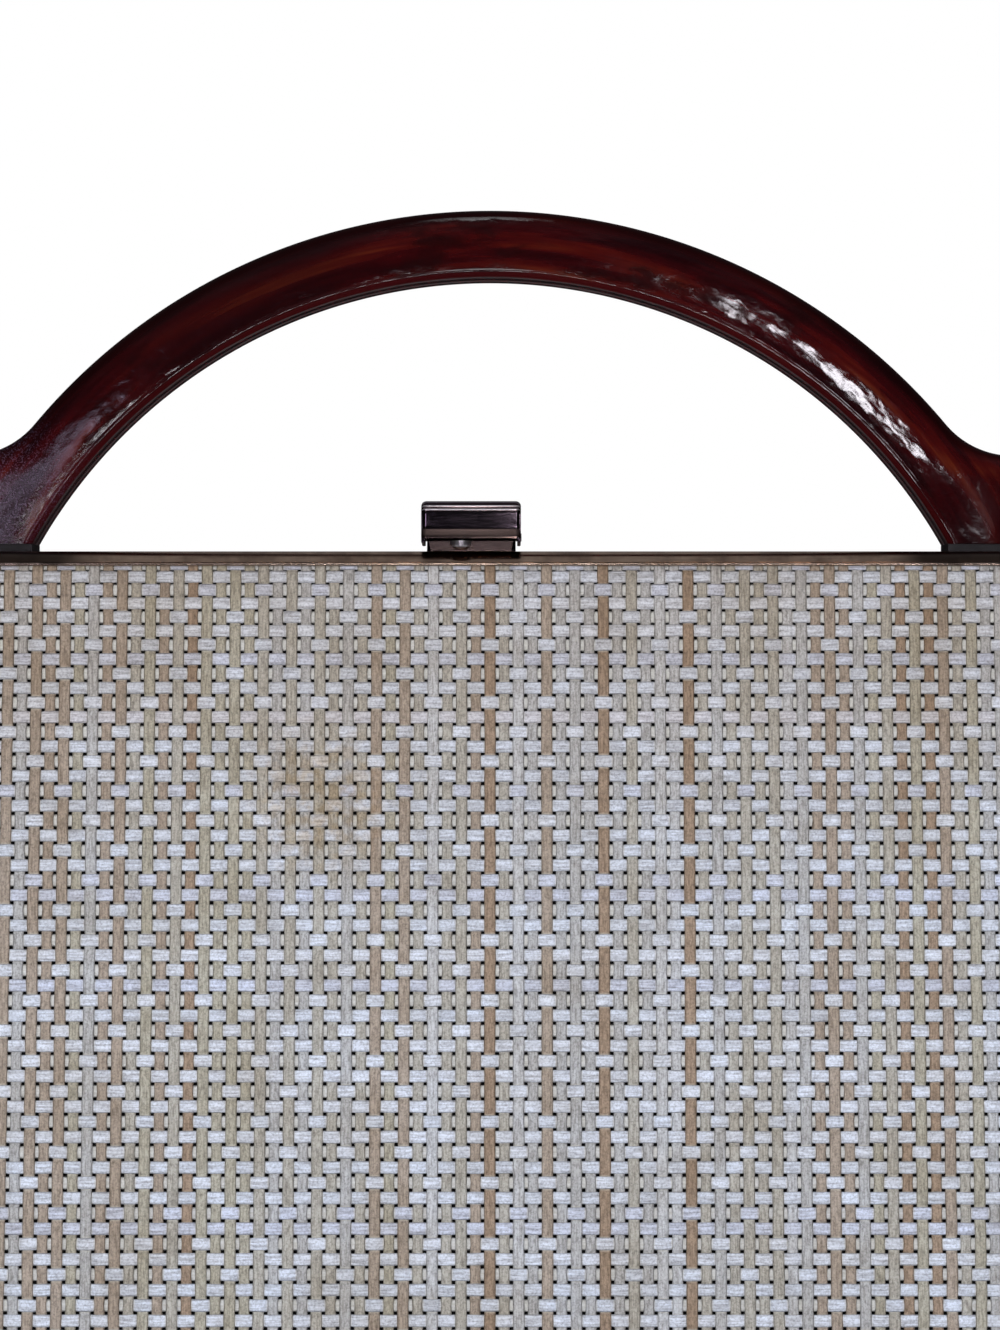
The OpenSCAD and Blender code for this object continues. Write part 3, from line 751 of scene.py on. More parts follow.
def weavePanel(name, panel):
    leftEdge, leftSlope, rightEdge, rightSlope = panel["edges"]
    shared = {
        **panel["place"],
        "Strand pitch": weave["strandPitch"],
        "Row pitch": weave["rowPitch"],
        "First row": panel["firstRow"],
        "Squeeze": panel["squeeze"],
        "Thickness": weave["thickness"],
        "Lift": weave["lift"],
        "Waver": weave["waver"],
        "Left edge": leftEdge,
        "Left slope": leftSlope,
        "Right edge": rightEdge,
        "Right slope": rightSlope,
    }
    firstUpright, lastUpright = panel["uprights"]
    start, end = panel["span"]
    warp = weavePiece(name + "_uprights", warpTree, {
        **shared,
        "Strands": lastUpright - firstUpright + 1,
        "First": firstUpright,
        "Segments": round((end - start) * panel["fineness"]),
        "Start": start,
        "End": end,
        "Wide": weave["wide"],
        "Narrow": weave["narrow"],
        "Seed": panel["seed"],
        "Material": strawWarp,
    })
    firstRow, lastRow = panel["rows"]
    widest = max(rightEdge, rightEdge + rightSlope * cadHigh.z * weave["panelShare"])
    weft = weavePiece(name + "_rows", weftTree, {
        **shared,
        "Strands": lastRow - firstRow + 1,
        "First": firstRow,
        "Segments": round(widest * 2 / weave["strandPitch"] * panel["fineness"]),
        "Wide": weave["rowWidth"],
        "Seed": panel["seed"] + 1,
        "Material": strawWeft,
    })
    finishPiece(warp, panel["body"], "straw", panel["replaces"])
    finishPiece(weft, panel["body"], "straw")
    print("woven", name, len(warp.data.polygons), len(weft.data.polygons))


# Front and rear leaf: the rear is the front turned about
leafEdge = weave["leafStrands"] * weave["strandPitch"]
for name, body, turn, fineness, seed in (("front", "front", 1.0, 3, 11), ("rear", "case", -1.0, 2, 23)):
    weavePanel(name + "_weave", {
        "body": body,
        "replaces": name + "_panel",
        "place": {
            "Origin": (0.0, turn * faceY(frameTop, weave["middle"]), frameTop),
            "Across": (turn, 0.0, 0.0),
            "Down": (0.0, -turn * math.sin(lean), -math.cos(lean)),
            "Outward": (0.0, -turn * math.cos(lean), math.sin(lean)),
        },
        "edges": (-leafEdge, 0.0, leafEdge, 0.0),
        "uprights": (-40, 40),
        "span": (-4 / 3, 55.0),
        "rows": (-1, 54),
        "firstRow": weave["firstRow"],
        "squeeze": weave["squeeze"],
        "fineness": fineness,
        "seed": seed,
    })

# The narrow sides taper between the rim and the rear frame
sides = {
    "rimBack": 12.5 * mm,
    "rearFlange": 8.1 * mm,
    "clear": 0.15 * mm,
    "firstRow": 2.2 * mm,
}
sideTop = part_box("side_panel_right")[1].z
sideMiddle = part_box("side_panel_right")[1].x - weave["lift"] - weave["thickness"] / 2
nearTop = faceY(sideTop, sides["rimBack"]) + sides["clear"]
farTop = -faceY(sideTop, sides["rearFlange"]) - sides["clear"]
for name, side, ends, uprights, seed in (
    ("right", 1.0, (nearTop, farTop), (-6, 7), 38),
    ("left", -1.0, (-farTop, -nearTop), (-7, 6), 36),
):
    weavePanel("side_weave_" + name, {
        "body": "case",
        "replaces": "side_panel_" + name,
        "place": {
            "Origin": (side * sideMiddle, 0.0, sideTop),
            "Across": (0.0, side, 0.0),
            "Down": (0.0, 0.0, -1.0),
            "Outward": (side, 0.0, 0.0),
        },
        "edges": (ends[0], -slope, ends[1], slope),
        "uprights": uprights,
        "span": (-0.5, 55.0),
        "rows": (0, 54),
        "firstRow": sides["firstRow"],
        "squeeze": 0.0,
        "fineness": 2,
        "seed": seed,
    })


# Handle: dense stations between two arcs about one centre, with hollow curves into the feet
handle = {
    "clearHeight": 63.1 * mm,
    "footLength": 23.9 * mm,
    "band": 15.4 * mm,
    "footHeight": 22.3 * mm,
    "fillet": 20.0 * mm,
    "footCorner": 8.0 * mm,
    "groove": 0.14 * mm,
    "grooveHalf": 0.3 * mm,
    "edgeShares": (0.45, 0.4),  # of half the thickness, at the inner and the outer edge
    "crownPlace": 0.38,
    "crownSlope": 0.17,
    "rim": 1.7 * mm,
    "faceStart": 2.1 * mm,
    "edge": [  # millimetres out from the inner edge and up from the face, with the ridge
        (0.0, -1.5), (0.12, -1.05), (0.45, -0.58), (0.9, -0.26), (1.06, -0.10), (1.18, 0.03),
        (1.30, 0.08), (1.48, 0.095), (1.66, 0.08), (1.78, 0.03), (1.92, -0.02),
    ],
    "archSteps": 120,
    "filletSteps": 20,
    "cornerSteps": 12,
    "endSteps": 4,
    "faceSteps": 14,
    "rimSteps": 10,
}
handleLow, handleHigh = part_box("handle")
footEnd = handleHigh.x
halfGrip = footEnd - handle["footLength"]
innerRadius = (halfGrip ** 2 + handle["clearHeight"] ** 2) / (2 * handle["clearHeight"])
outerRadius = innerRadius + handle["band"]
archZ = frameTop + handle["clearHeight"] - innerRadius
footTop = frameTop + handle["footHeight"]
filletZ = footTop + handle["fillet"]
filletX = math.sqrt((outerRadius + handle["fillet"]) ** 2 - (filletZ - archZ) ** 2)
archAngle = math.asin(filletX / (outerRadius + handle["fillet"]))
toeAngle = math.acos((handleLow.z - archZ) / innerRadius)


def onArc(radius, angle):
    return Vector((radius * math.sin(angle), archZ + radius * math.cos(angle)))


def mirrored(point):
    return Vector((-point.x, point.y))


outerFoot = []
for i in range(1, handle["filletSteps"] + 1):
    angle = archAngle * (1 - i / handle["filletSteps"])
    outerFoot.append(Vector((
        filletX - handle["fillet"] * math.sin(angle),
        filletZ - handle["fillet"] * math.cos(angle),
    )))
for i in range(handle["cornerSteps"] + 1):
    angle = math.pi / 2 * i / handle["cornerSteps"]
    outerFoot.append(Vector((
        footEnd - handle["footCorner"] * (1 - math.sin(angle)),
        footTop - handle["footCorner"] * (1 - math.cos(angle)),
    )))
cornerEnd = outerFoot[-1].y
for i in range(1, handle["endSteps"] + 1):
    outerFoot.append(Vector((footEnd, cornerEnd + (handleLow.z - cornerEnd) * i / handle["endSteps"])))
innerFoot = []
for i in range(1, len(outerFoot) + 1):
    innerFoot.append(onArc(innerRadius, archAngle + (toeAngle - archAngle) * i / len(outerFoot)))
stations = [(mirrored(a), mirrored(b)) for a, b in zip(reversed(innerFoot), reversed(outerFoot))]
for i in range(handle["archSteps"] + 1):
    angle = archAngle * (2 * i / handle["archSteps"] - 1)
    stations.append((onArc(innerRadius, angle), onArc(outerRadius, angle)))
stations += list(zip(innerFoot, outerFoot))


def handleSection(length):
    # From the middle of the inner face round the front to the middle of the outer edge
    half = (handleHigh.y - handleLow.y) / 2
    faceStart = handle["faceStart"]
    faceEnd = length - handle["rim"]
    crown = handle["crownPlace"] * length
    fall = handle["crownSlope"] / (2 * (faceEnd - crown))
    level = half - fall * (faceStart - crown) ** 2
    innerShare, outerShare = handle["edgeShares"]
    points = [(handle["groove"], 0.0), (0.0, handle["grooveHalf"]), (0.0, half * innerShare)]
    for e, rise in handle["edge"]:
        points.append((e * mm, level + rise * mm))
    for i in range(handle["faceSteps"] + 1):
        e = faceStart + (faceEnd - faceStart) * i / handle["faceSteps"]
        points.append((e, half - fall * (e - crown) ** 2))
    tilt = math.atan(handle["crownSlope"])
    radius = handle["rim"] / (1 - math.sin(tilt))
    centreE = faceEnd - radius * math.sin(tilt)
    centreY = points[-1][1] - radius * math.cos(tilt)
    for i in range(1, handle["rimSteps"] + 1):
        angle = tilt + (math.pi / 2 - tilt) * i / handle["rimSteps"]
        points.append((centreE + radius * math.sin(angle), centreY + radius * math.cos(angle)))
    points += [(length, half * outerShare), (length, 0.0)]
    return points


handleMiddle = (handleHigh.y + handleLow.y) / 2
mesh = bmesh.new()
flowLayer = mesh.verts.layers.float_vector.new("flow")
rimLayer = mesh.verts.layers.float.new("rim")
innerLayer = mesh.verts.layers.float.new("inner")
rings = []
travel = 0.0
last = None
for inner, outer in stations:
    span = outer - inner
    length = span.length
    middle = (inner + outer) / 2
    if last is not None:
        travel += (middle - last).length
    last = middle
    section = handleSection(length)
    ring = []
    for e, y in [(e, -y) for e, y in section] + list(reversed(section[1:-1])):
        spot = inner + span / length * e
        vertex = mesh.verts.new((spot.x, handleMiddle + y, spot.y))
        vertex[flowLayer] = (travel, e, y)
        vertex[rimLayer] = length - e
        vertex[innerLayer] = e
        ring.append(vertex)
    rings.append(ring)
joinRings(mesh, rings)
mesh.faces.new(rings[0])
mesh.faces.new(list(reversed(rings[-1])))
bmesh.ops.recalc_face_normals(mesh, faces=mesh.faces[:])
handlePiece = pieceFrom(mesh, "handle_arch", resinMaterial)
smoothPiece(handlePiece)
finishPiece(handlePiece, "case", "resin", "handle")
print("handle made", len(handlePiece.data.polygons))


# Metal pieces and the base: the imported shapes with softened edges
def softCopy(name, node, body, slot, material, width):
    mesh = bmesh.new()
    mesh.from_mesh(nodes[node].data)
    bmesh.ops.remove_doubles(mesh, verts=mesh.verts[:], dist=0.002 * mm)
    flat = math.radians(0.5)
    bmesh.ops.dissolve_limit(mesh, angle_limit=flat, verts=mesh.verts[:], edges=mesh.edges[:])
    piece = pieceFrom(mesh, name, material)
    soften(piece, width)
    finishPiece(piece, body, slot, node)
    return piece


softCopy("rim_frame_soft", "rim_frame", "case", "frame_brass", brassMaterial, 0.3 * mm)
softCopy("top_plate_soft", "top_plate", "case", "frame_brass", brassMaterial, 0.15 * mm)
softCopy("sill_soft", "sill_bar", "case", "frame_brass", brassMaterial, 0.3 * mm)
seatPiece = softCopy("seat_plates_soft", "seat_plates", "case", "dark_metal", seatMaterial, 0.2 * mm)
seatInner = min(abs(vertex.co.x) for vertex in seatPiece.data.vertices)
toe = innerRadius * math.sin(toeAngle)
for vertex in seatPiece.data.vertices:
    if abs(vertex.co.x) < seatInner + 1.0 * mm:
        vertex.co.x -= math.copysign(seatInner - toe, vertex.co.x)  # flush with the toe of the handle
softCopy("clasp_bracket_soft", "clasp_bracket", "case", "dark_metal", darkMaterial, 0.12 * mm)
catchPiece = softCopy("catch_plate_soft", "catch_plate", "front", "dark_metal", darkMaterial, 0.12 * mm)
for item in catchPiece.data.attributes.new("wearAndShine", "FLOAT", "POINT").data:
    item.value = 0.2
softCopy("base_soft", "base_panel", "case", "base_hide", hideMaterial, 0.8 * mm)
print("metal softened")

# Frames of both leaves: one bar swept round the outline, rounded in front, with a bead at its lip
bar = {
    "corner": 6.0 * mm,
    "leastCorner": 0.6 * mm,
    "cornerSteps": 10,
    "frontGap": 0.4 * mm,
    # The section in millimetres: inset from the outline and depth behind the outer face
    "slope": [(2.5, 0.12), (1.75, 0.45), (0.35, 1.6), (0.0, 3.0)],
    "slopeSteps": 16,
    "bead": (2.98, 0.20, 0.34),  # inset, depth and radius
    "beadTurn": (1.06, 0.88),  # start and sweep, in half turns
    "beadSteps": 8,
    "beadGap": 0.02,
    "beadWearAndShine": 0.8,
    "lipEdge": 3.4,
    "lipFront": 0.45,
    "lip": 1.2,
    "wall": 1.4,
    "pocket": 5.0,
    "flange": 6.0,
    "chamfer": 0.3,
    "thickness": 8.1,
}
hingeFit = {
    "spots": (-84.0 * mm, 84.0 * mm),
    "length": 42.0 * mm,
    "knuckle": 9.24 * mm,
    "gap": 0.3 * mm,
    "radius": 2.5 * mm,
    "room": 2.85 * mm,
    "segments": 36,
    "soft": 0.25 * mm,
}


def onCurve(corners, t):
    first, second, third, fourth = [Vector(corner) for corner in corners]
    early = first * (1 - t) ** 3 + second * 3 * t * (1 - t) ** 2
    return early + third * 3 * t ** 2 * (1 - t) + fourth * t ** 3


def barProfile():
    points = [(0.0, bar["thickness"])]
    for i in range(bar["slopeSteps"] + 1):
        points.append(tuple(onCurve(bar["slope"], 1 - i / bar["slopeSteps"])))
    inset, depth, radius = bar["bead"]
    start, sweep = bar["beadTurn"]
    points.append((inset - radius - bar["beadGap"], depth))
    for i in range(bar["beadSteps"] + 1):
        angle = math.pi * (start + sweep * i / bar["beadSteps"])
        points.append((inset + radius * math.cos(angle), depth + radius * math.sin(angle)))
    points += [
        (bar["lipEdge"], bar["lipFront"]),
        (bar["lipEdge"], bar["lip"]),
        (bar["wall"], bar["lip"]),
        (bar["wall"], bar["pocket"]),
        (bar["flange"], bar["pocket"]),
        (bar["flange"], bar["thickness"] - bar["chamfer"]),
        (bar["flange"] - bar["chamfer"], bar["thickness"]),
    ]
    return points


def barPath(inset, bottom):
    # Up the left side, over the top and down the right side; the bottom closes it
    radius = max(bar["corner"] - inset, bar["leastCorner"])
    centreX = halfWidth - inset - radius
    centreZ = frameTop - inset - radius
    points = [(-halfWidth + inset, bottom + inset)]
    for side in (-1, 1):
        for i in range(bar["cornerSteps"] + 1):
            share = i / bar["cornerSteps"]
            angle = math.pi / 2 * (share if side < 0 else 1 - share)
            points.append((side * (centreX + radius * math.cos(angle)), centreZ + radius * math.sin(angle)))
    points.append((halfWidth - inset, bottom + inset))
    return points


def leafBar(name, turn, bottom):
    mesh = bmesh.new()
    wearShineLayer = mesh.verts.layers.float.new("wearAndShine")
    beadInset, beadDepth, beadRadius = bar["bead"]
    rings = []
    for inset, depth in barProfile():
        onBead = abs(inset - beadInset) < beadRadius * 0.9 and depth < beadDepth + 0.05
        ring = []
        for x, z in barPath(inset * mm, bottom):
            vertex = mesh.verts.new((x, turn * faceY(z, depth * mm), z))
            # The bead gets a rub that is wear and a painted highlight
            vertex[wearShineLayer] = bar["beadWearAndShine"] if onBead else 0.0
            ring.append(vertex)
        rings.append(ring)
    joinRings(mesh, rings + rings[:1])
    bmesh.ops.recalc_face_normals(mesh, faces=mesh.faces[:])
    return pieceFrom(mesh, name, brassMaterial)


def barrels(name, length, radius):
    # One barrel at each hinge
    mesh = bmesh.new()
    for spot in hingeFit["spots"]:
        made = bmesh.ops.create_cone(
            mesh, cap_ends=True, segments=hingeFit["segments"], radius1=radius, radius2=radius, depth=length,
        )
        for vertex in made["verts"]:
            x, y, z = vertex.co
            vertex.co = (spot + z, foot.y + y, foot.z - x)
    return pieceFrom(mesh, name, brassMaterial)


rearBar = leafBar("rear_bar", -1, foot.z)
smoothPiece(rearBar)
finishPiece(rearBar, "case", "frame_brass", "rear_frame")

# The front's bar leaves room for the sill's barrels and carries its own knuckles
frontBar = leafBar("front_bar", 1, foot.z + bar["frontGap"])
rooms = barrels("barrel_rooms", hingeFit["length"] + 2 * hingeFit["gap"], hingeFit["room"])
carve = frontBar.modifiers.new("rooms", "BOOLEAN")
carve.operation = "DIFFERENCE"
carve.solver = "EXACT"
carve.object = rooms
applied(frontBar)
bpy.data.objects.remove(rooms)
smoothPiece(frontBar)
finishPiece(frontBar, "front", "frame_brass", "front_frame")
knuckles = barrels("front_knuckles", 2 * hingeFit["knuckle"], hingeFit["radius"])
soften(knuckles, hingeFit["soft"])
finishPiece(knuckles, "front", "frame_brass")
print("frames made", len(frontBar.data.polygons))

# Flap of the clasp: a rolled sheet with rounded ends, two pressed lines and a flared lip, on two side plates
flap = {
    "sheet": 0.8 * mm,
    "roll": 3.0 * mm,
    "endRound": 1.15 * mm,
    "endWearAndShine": 0.5,
    "flare": 0.5 * mm,
    "flareHeight": 2.2 * mm,
    "lipGap": 2.9 * mm,
    "lipStraight": 0.35 * mm,
    "lipBend": (0.75 * mm, 0.85),  # height over the lip, share of the flare
    "lipRise": (0.25 * mm, 0.12),  # height below the flare's end, share of the flare
    "lipWearAndShine": 0.3,
    "lineAngles": (37.0, 19.0),
    "lineHeight": 0.10 * mm,
    "lineWidth": 4.0,
    "frontSteps": 5,
    "rollSteps": 56,
    "backSteps": 6,
    "endSteps": 8,
}
flapHalf = (flapHigh.x - flapLow.x) / 2
claspPin = jointPlace("clasp_hinge")
flapPin = Vector((claspPin.y, claspPin.z))
rollCentre = Vector((topFace + flap["roll"], flapHigh.z - flap["roll"]))
flapRun = (flapPin - rollCentre).normalized()
flapUp = Vector((-flapRun.y, flapRun.x))
flapTurn = math.atan2(flapUp.y, flapUp.x)
lipZ = frameTop + flap["lipGap"]


def flapProfile():
    # Outer surface from the lip up the front, round the roll and back to the pin
    # Each point has a place, an outward direction and its rub, a painted reflection on the lip and a painted
    # highlight on the pressed lines
    front = Vector((-1.0, 0.0))
    flared = Vector((-flap["flareHeight"], -flap["flare"])).normalized()
    flareEnd = Vector((topFace, lipZ + flap["flareHeight"]))
    bendHeight, bendShare = flap["lipBend"]
    riseDrop, riseShare = flap["lipRise"]
    # The lip's browner rub is a painted reflection
    rubShine = flap["lipWearAndShine"]
    points = [
        (Vector((topFace - flap["flare"], lipZ)), front, rubShine),
        (Vector((topFace - flap["flare"], lipZ + flap["lipStraight"])), front, rubShine),
        (Vector((topFace - flap["flare"] * bendShare, lipZ + bendHeight)), flared, rubShine),
        (Vector((topFace - flap["flare"] * riseShare, lipZ + flap["flareHeight"] - riseDrop)), flared, rubShine),
        (flareEnd, front, 0.0),
    ]
    for i in range(1, flap["frontSteps"]):
        z = flareEnd.y + (rollCentre.y - flareEnd.y) * i / flap["frontSteps"]
        points.append((Vector((topFace, z)), front, 0.0))
    for i in range(flap["rollSteps"] + 1):
        degrees = (180 - math.degrees(flapTurn)) * i / flap["rollSteps"]
        direction = Vector((-math.cos(math.radians(degrees)), math.sin(math.radians(degrees))))
        rise = sum(math.exp(-((degrees - line) / flap["lineWidth"]) ** 2) for line in flap["lineAngles"])
        spot = rollCentre + direction * (flap["roll"] + flap["lineHeight"] * rise)
        # The pressed lines are rubbed silvery, a painted highlight
        points.append((spot, direction, min(rise, 1.0)))
    backStart = rollCentre + flapUp * flap["roll"]
    for i in range(1, flap["backSteps"] + 1):
        points.append((backStart + (flapPin - rollCentre) * i / flap["backSteps"], flapUp, 0.0))
    return points


mesh = bmesh.new()
wearShineLayer = mesh.verts.layers.float.new("wearAndShine")
profile = flapProfile()
offsets = []
for i in range(flap["endSteps"] + 1):
    angle = math.pi / 2 * i / flap["endSteps"]
    inward = flap["endRound"] * (1 - math.cos(angle))
    offsets.append((flapHalf - inward, flap["endRound"] * (1 - math.sin(angle))))
columns = []
for x, drop in [(-x, drop) for x, drop in offsets] + list(reversed(offsets)):
    column = []
    for spot, direction, rubShine in profile:
        place = spot - direction * drop
        vertex = mesh.verts.new((claspX + x, place.x, place.y))
        # The rounded ends get a rub that is a painted highlight
        vertex[wearShineLayer] = max(rubShine, flap["endWearAndShine"] * min(drop / flap["endRound"], 1.0))
        column.append(vertex)
    columns.append(column)
for first, second in zip(columns, columns[1:]):
    for j in range(len(first) - 1):
        mesh.faces.new((first[j], second[j], second[j + 1], first[j + 1]))
flapPiece = pieceFrom(mesh, "clasp_flap_sheet", darkMaterial)
thick = flapPiece.modifiers.new("sheet", "SOLIDIFY")
thick.thickness = flap["sheet"]
thick.offset = -1.0
applied(flapPiece)

# Side plates under the sheet's ends, with the eye for the pin
plate = {
    "gap": 1.9 * mm,
    "front": (0.25 * mm, 0.35 * mm),  # behind the sheet's face, at the foot and at the roll
    "back": 3.2 * mm,
    "tuck": 0.9,  # share of the sheet's thickness
    "eye": 2.0 * mm,
    "eyeTurn": math.radians(150),
    "clear": 0.02 * mm,
    "steps": 12,
    "soft": 0.14 * mm,
}
plateFoot = frameTop + plate["gap"]
plateRoll = flap["roll"] - flap["sheet"] * plate["tuck"]
outline = [(topFace + plate["front"][0], plateFoot), (topFace + plate["front"][1], rollCentre.y)]
for centre, radius, start, sweep in (
    (rollCentre, plateRoll, math.pi, math.pi - flapTurn),
    (flapPin, plate["eye"], flapTurn, plate["eyeTurn"]),
):
    for i in range(plate["steps"] + 1):
        angle = start - sweep * i / plate["steps"]
        outline.append((centre.x + radius * math.cos(angle), centre.y + radius * math.sin(angle)))
outline.append((topFace + plate["back"], plateFoot))
mesh = bmesh.new()
for side in (-1, 1):
    rings = []
    for x in (flapHalf - flap["sheet"], flapHalf - plate["clear"]):
        rings.append([mesh.verts.new((claspX + side * x, y, z)) for y, z in outline])
    mesh.faces.new(rings[0])
    mesh.faces.new(list(reversed(rings[1])))
    joinRings(mesh, rings)
bmesh.ops.recalc_face_normals(mesh, faces=mesh.faces[:])
plates = pieceFrom(mesh, "clasp_flap_plates", darkMaterial)
soften(plates, plate["soft"], 2)
smoothPiece(flapPiece)
finishPiece(flapPiece, "flap", "dark_metal", "clasp_flap")
finishPiece(plates, "flap", "dark_metal")
print("clasp made", len(flapPiece.data.polygons))

# Half-ball stud on the neck of the catch, its crown rounded and rubbed bright, a painted highlight
stud = {
    "around": 40,
    "along": 24,
    "crown": 1.0 * mm,
    "crownSteps": 8,
    "rubAndShine": 1.4 * mm,  # down from the top
    "crownWearAndShine": 0.9,
    "rubShine": 0.3,
    "touch": 0.01 * mm,
    "sharp": 50,
}
studLow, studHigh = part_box("catch_stud")
studRadius = (studHigh.x - studLow.x) / 2
studCentre = Vector(((studLow.x + studHigh.x) / 2, studHigh.y, studHigh.z))
mesh = bmesh.new()
bmesh.ops.create_uvsphere(mesh, u_segments=stud["around"], v_segments=stud["along"], radius=studRadius)
bmesh.ops.translate(mesh, verts=mesh.verts[:], vec=studCentre)
for spot, normal in ((studHigh, (0, 0, 1)), (studHigh, (0, 1, 0)), (studLow, (0, 0, -1))):
    whole = mesh.verts[:] + mesh.edges[:] + mesh.faces[:]
    cut = bmesh.ops.bisect_plane(mesh, geom=whole, plane_co=spot, plane_no=normal, clear_outer=True)
    edges = [item for item in cut["geom_cut"] if isinstance(item, bmesh.types.BMEdge)]
    bmesh.ops.contextual_create(mesh, geom=edges)
crownEdges = []
for edge in mesh.edges:
    onTop = all(vertex.co.z > studHigh.z - stud["touch"] for vertex in edge.verts)
    onBack = all(vertex.co.y > studHigh.y - stud["touch"] for vertex in edge.verts)
    if onTop and not onBack:
        crownEdges.append(edge)
bmesh.ops.bevel(
    mesh, geom=crownEdges, offset=stud["crown"], segments=stud["crownSteps"], profile=0.5, affect="EDGES",
)
bmesh.ops.recalc_face_normals(mesh, faces=mesh.faces[:])
wearShineLayer = mesh.verts.layers.float.new("wearAndShine")
for vertex in mesh.verts:
    # The crown's bright rub is a painted highlight; the rest of the stud is only a little rubbed
    onCrown = vertex.co.z > studHigh.z - stud["rubAndShine"]
    vertex[wearShineLayer] = stud["crownWearAndShine"] if onCrown else stud["rubShine"]
studPiece = pieceFrom(mesh, "stud_ball", darkMaterial)
smoothPiece(studPiece, stud["sharp"])
finishPiece(studPiece, "front", "dark_metal", "catch_stud")

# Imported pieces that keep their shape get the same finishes
finishes = {
    "rear_board": boardMaterial,
    "front_board": boardMaterial,
    "side_board_left": boardMaterial,
    "side_board_right": boardMaterial,
    "case_lining": clothMaterial,
    "front_lining": clothMaterial,
    "hinge_pins": darkMaterial,
    "handle_screws": darkMaterial,
    "clasp_pin": darkMaterial,
    "bracket_rivets": brassMaterial,
    "catch_rivets": brassMaterial,
    "clasp_spring": brassMaterial,
}
for name, material in finishes.items():
    nodes[name].data.materials.clear()
    nodes[name].data.materials.append(material)
print("finishes set")

# Camera at the photograph's place: level, square on to the front
view = {
    "pixel": 0.2262 * mm,  # width of one pixel of the photograph at the front
    "pixelsHigh": 1330,
    "distance": 800 * mm,
    "centre": (2.26 * mm, 170.2 * mm),
    "sensor": 36.0,
}
camera = bpy.data.objects.new("camera", bpy.data.cameras.new("camera"))
bpy.context.scene.collection.objects.link(camera)
camera.location = (view["centre"][0], topFace - view["distance"], view["centre"][1])
camera.rotation_euler = (math.radians(90), 0.0, 0.0)
camera.data.sensor_width = view["sensor"]
camera.data.lens = view["sensor"] * view["distance"] / (view["pixelsHigh"] * view["pixel"])
camera.data.clip_start = 0.01
bpy.context.scene.camera = camera

# Soft studio lights: broad ones light the straw, small ones near the camera make the gloss
softTint = (0.92, 0.97, 1.0)
lightAim = Vector((0.0, 0.0, 0.15))
lights = [  # name, place, size, power, whether gloss mirrors it, tint
    ("key", (-0.45, -1.0, 0.28), 0.8, 7.1, False, softTint),
    ("fill", (0.75, -0.95, 0.06), 0.9, 5.3, False, softTint),
    ("top", (0.05, -0.1, 1.15), 0.7, 2.6, False, softTint),
    ("back", (0.1, 1.0, 0.6), 0.9, 9.5, False, softTint),
    ("frontRight", (0.168, -0.84, 0.302), 0.075, 0.7, True, (0.96, 0.93, 1.0)),
    ("frontLeft", (-0.235, -0.85, 0.25), 0.07, 0.2, True, (0.82, 0.74, 1.0)),
    ("lowFront", (-0.03, -0.9, 0.092), 0.05, 0.48, True, (0.96, 0.95, 1.0)),
    ("ceiling", (-0.01, -0.75, 0.86), 0.12, 0.7, True, (0.96, 0.98, 1.0)),
]
for name, spot, size, power, shiny, tint in lights:
    data = bpy.data.lights.new(name, "AREA")
    data.shape = "SQUARE"
    data.size = size
    data.energy = power
    data.color = tint
    light = bpy.data.objects.new(name, data)
    light.location = spot
    light.rotation_euler = (lightAim - Vector(spot)).to_track_quat("-Z", "Y").to_euler()
    light.visible_glossy = shiny
    bpy.context.scene.collection.objects.link(light)

# White to the camera, pale light on the straw, and a dim room in the gloss, brighter overhead
studio = {
    "ambient": (0.90, 0.94, 1.0, 1.0),
    "ambientStrength": 0.36,
    "mirror": (0.9, 0.92, 1.0, 1.0),
    "mirrorHeights": (0.2, 0.85),
    "mirrorStrengths": (0.012, 0.37),
    "floorHalf": 3.0,
    "floorTones": [(0.3, (0.86, 0.86, 0.86, 1.0)), (0.7, (0.9, 0.9, 0.9, 1.0))],
    "floorFade": (0.25, 1.3),
    "floorDim": (0.3, 1.3),
    "floorDimTones": (0.25, 0.02),
}


def background(tree, colour, strength):
    node = tree.nodes.new("ShaderNodeBackground")
    node.inputs["Color"].default_value = colour
    feed(tree, node.inputs["Strength"], strength)
    return node.outputs[0]


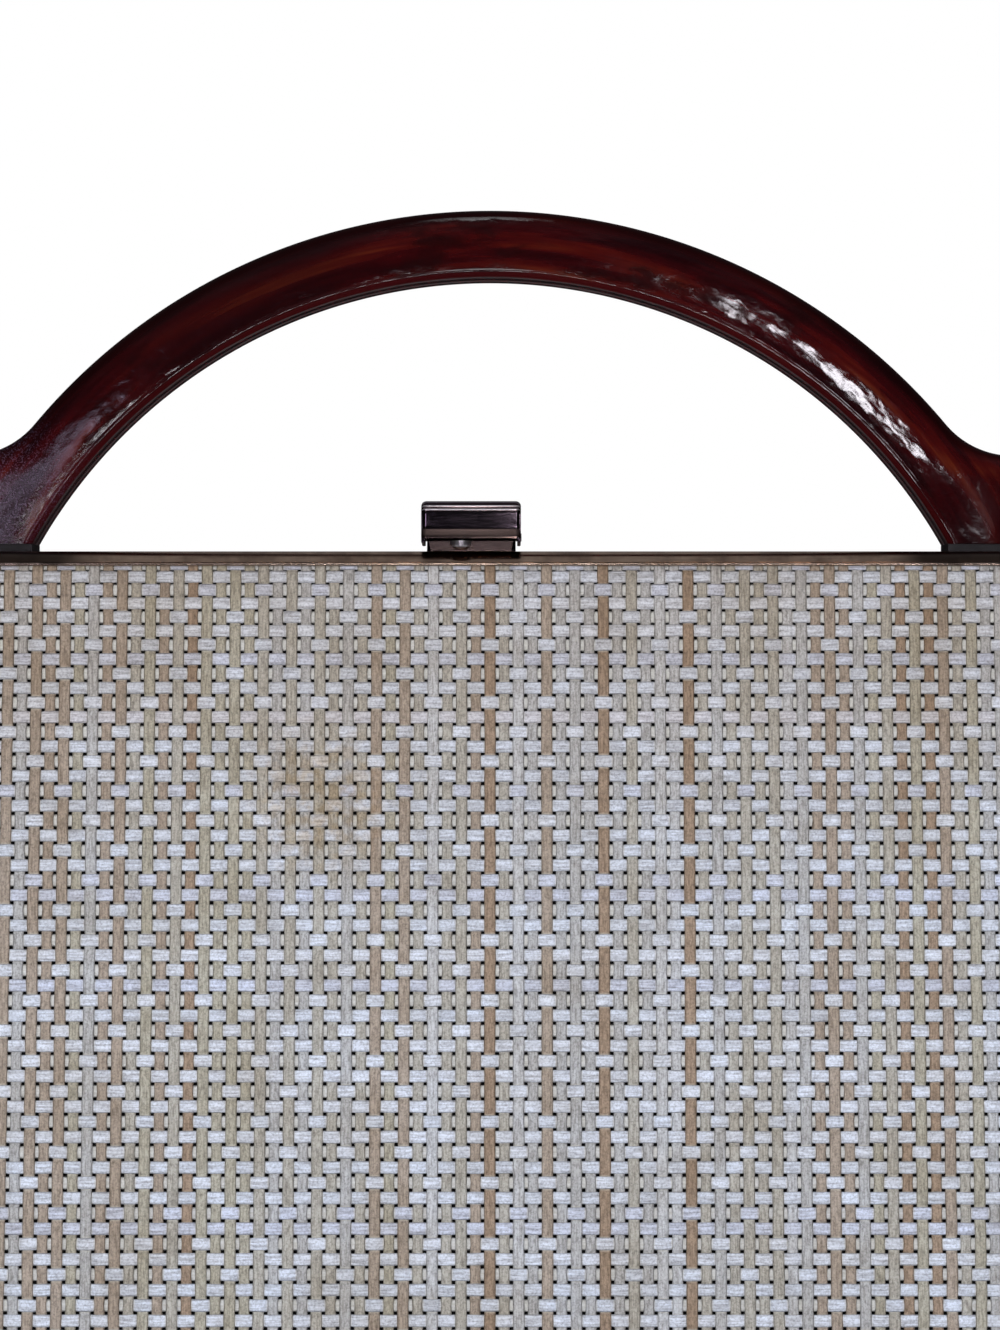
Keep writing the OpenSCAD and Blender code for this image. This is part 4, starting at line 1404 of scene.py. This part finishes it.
def mixShader(tree, factor, first, second):
    node = tree.nodes.new("ShaderNodeMixShader")
    for socket, value in zip(node.inputs, (factor, first, second)):
        tree.links.new(value, socket)
    return node.outputs[0]


world = bpy.data.worlds.new("studio")
bpy.context.scene.world = world
world.use_nodes = True
tree = world.node_tree
tree.nodes.clear()
rays = tree.nodes.new("ShaderNodeLightPath").outputs
skyward = axesOf(tree, tree.nodes.new("ShaderNodeTexCoord").outputs["Generated"])["Z"]
overhead = smooth(tree, skyward, *studio["mirrorHeights"], *studio["mirrorStrengths"])
ambient = background(tree, studio["ambient"], studio["ambientStrength"])
glossy = mixShader(tree, rays["Is Glossy Ray"], ambient, background(tree, studio["mirror"], overhead))
clear = calc(tree, "MAXIMUM", rays["Is Camera Ray"], rays["Is Transmission Ray"])
output = tree.nodes.new("ShaderNodeOutputWorld")
tree.links.new(mixShader(tree, clear, glossy, background(tree, white, 1.0)), output.inputs["Surface"])

# Pale floor under the bag, fading to the white background, and dim where it shows in gloss
floorMaterial, tree, shader = newMaterial("pale_floor", {"Roughness": 0.9, "Specular IOR Level": 0.2})
rays = tree.nodes.new("ShaderNodeLightPath").outputs
pale = ramp(tree, noise(tree, objectSpace(tree), 3.0), studio["floorTones"])
away = vectorCalc(tree, "LENGTH", objectSpace(tree))
dim = smooth(tree, away, *studio["floorDim"], *studio["floorDimTones"])
tree.links.new(mixColour(tree, rays["Is Glossy Ray"], pale, dim), shader.inputs["Base Color"])
glow = tree.nodes.new("ShaderNodeEmission")
glow.inputs["Color"].default_value = white
fade = calc(tree, "MULTIPLY", rays["Is Camera Ray"], smooth(tree, away, *studio["floorFade"], 0.0, 1.0))
faded = mixShader(tree, fade, shader.outputs["BSDF"], glow.outputs["Emission"])
tree.links.new(faded, tree.get_output_node("ALL").inputs["Surface"])
mesh = bmesh.new()
bmesh.ops.create_grid(mesh, x_segments=4, y_segments=4, size=studio["floorHalf"])
floor = pieceFrom(mesh, "floor", floorMaterial)
bpy.context.scene.view_settings.view_transform = "Standard"
print("stage set")
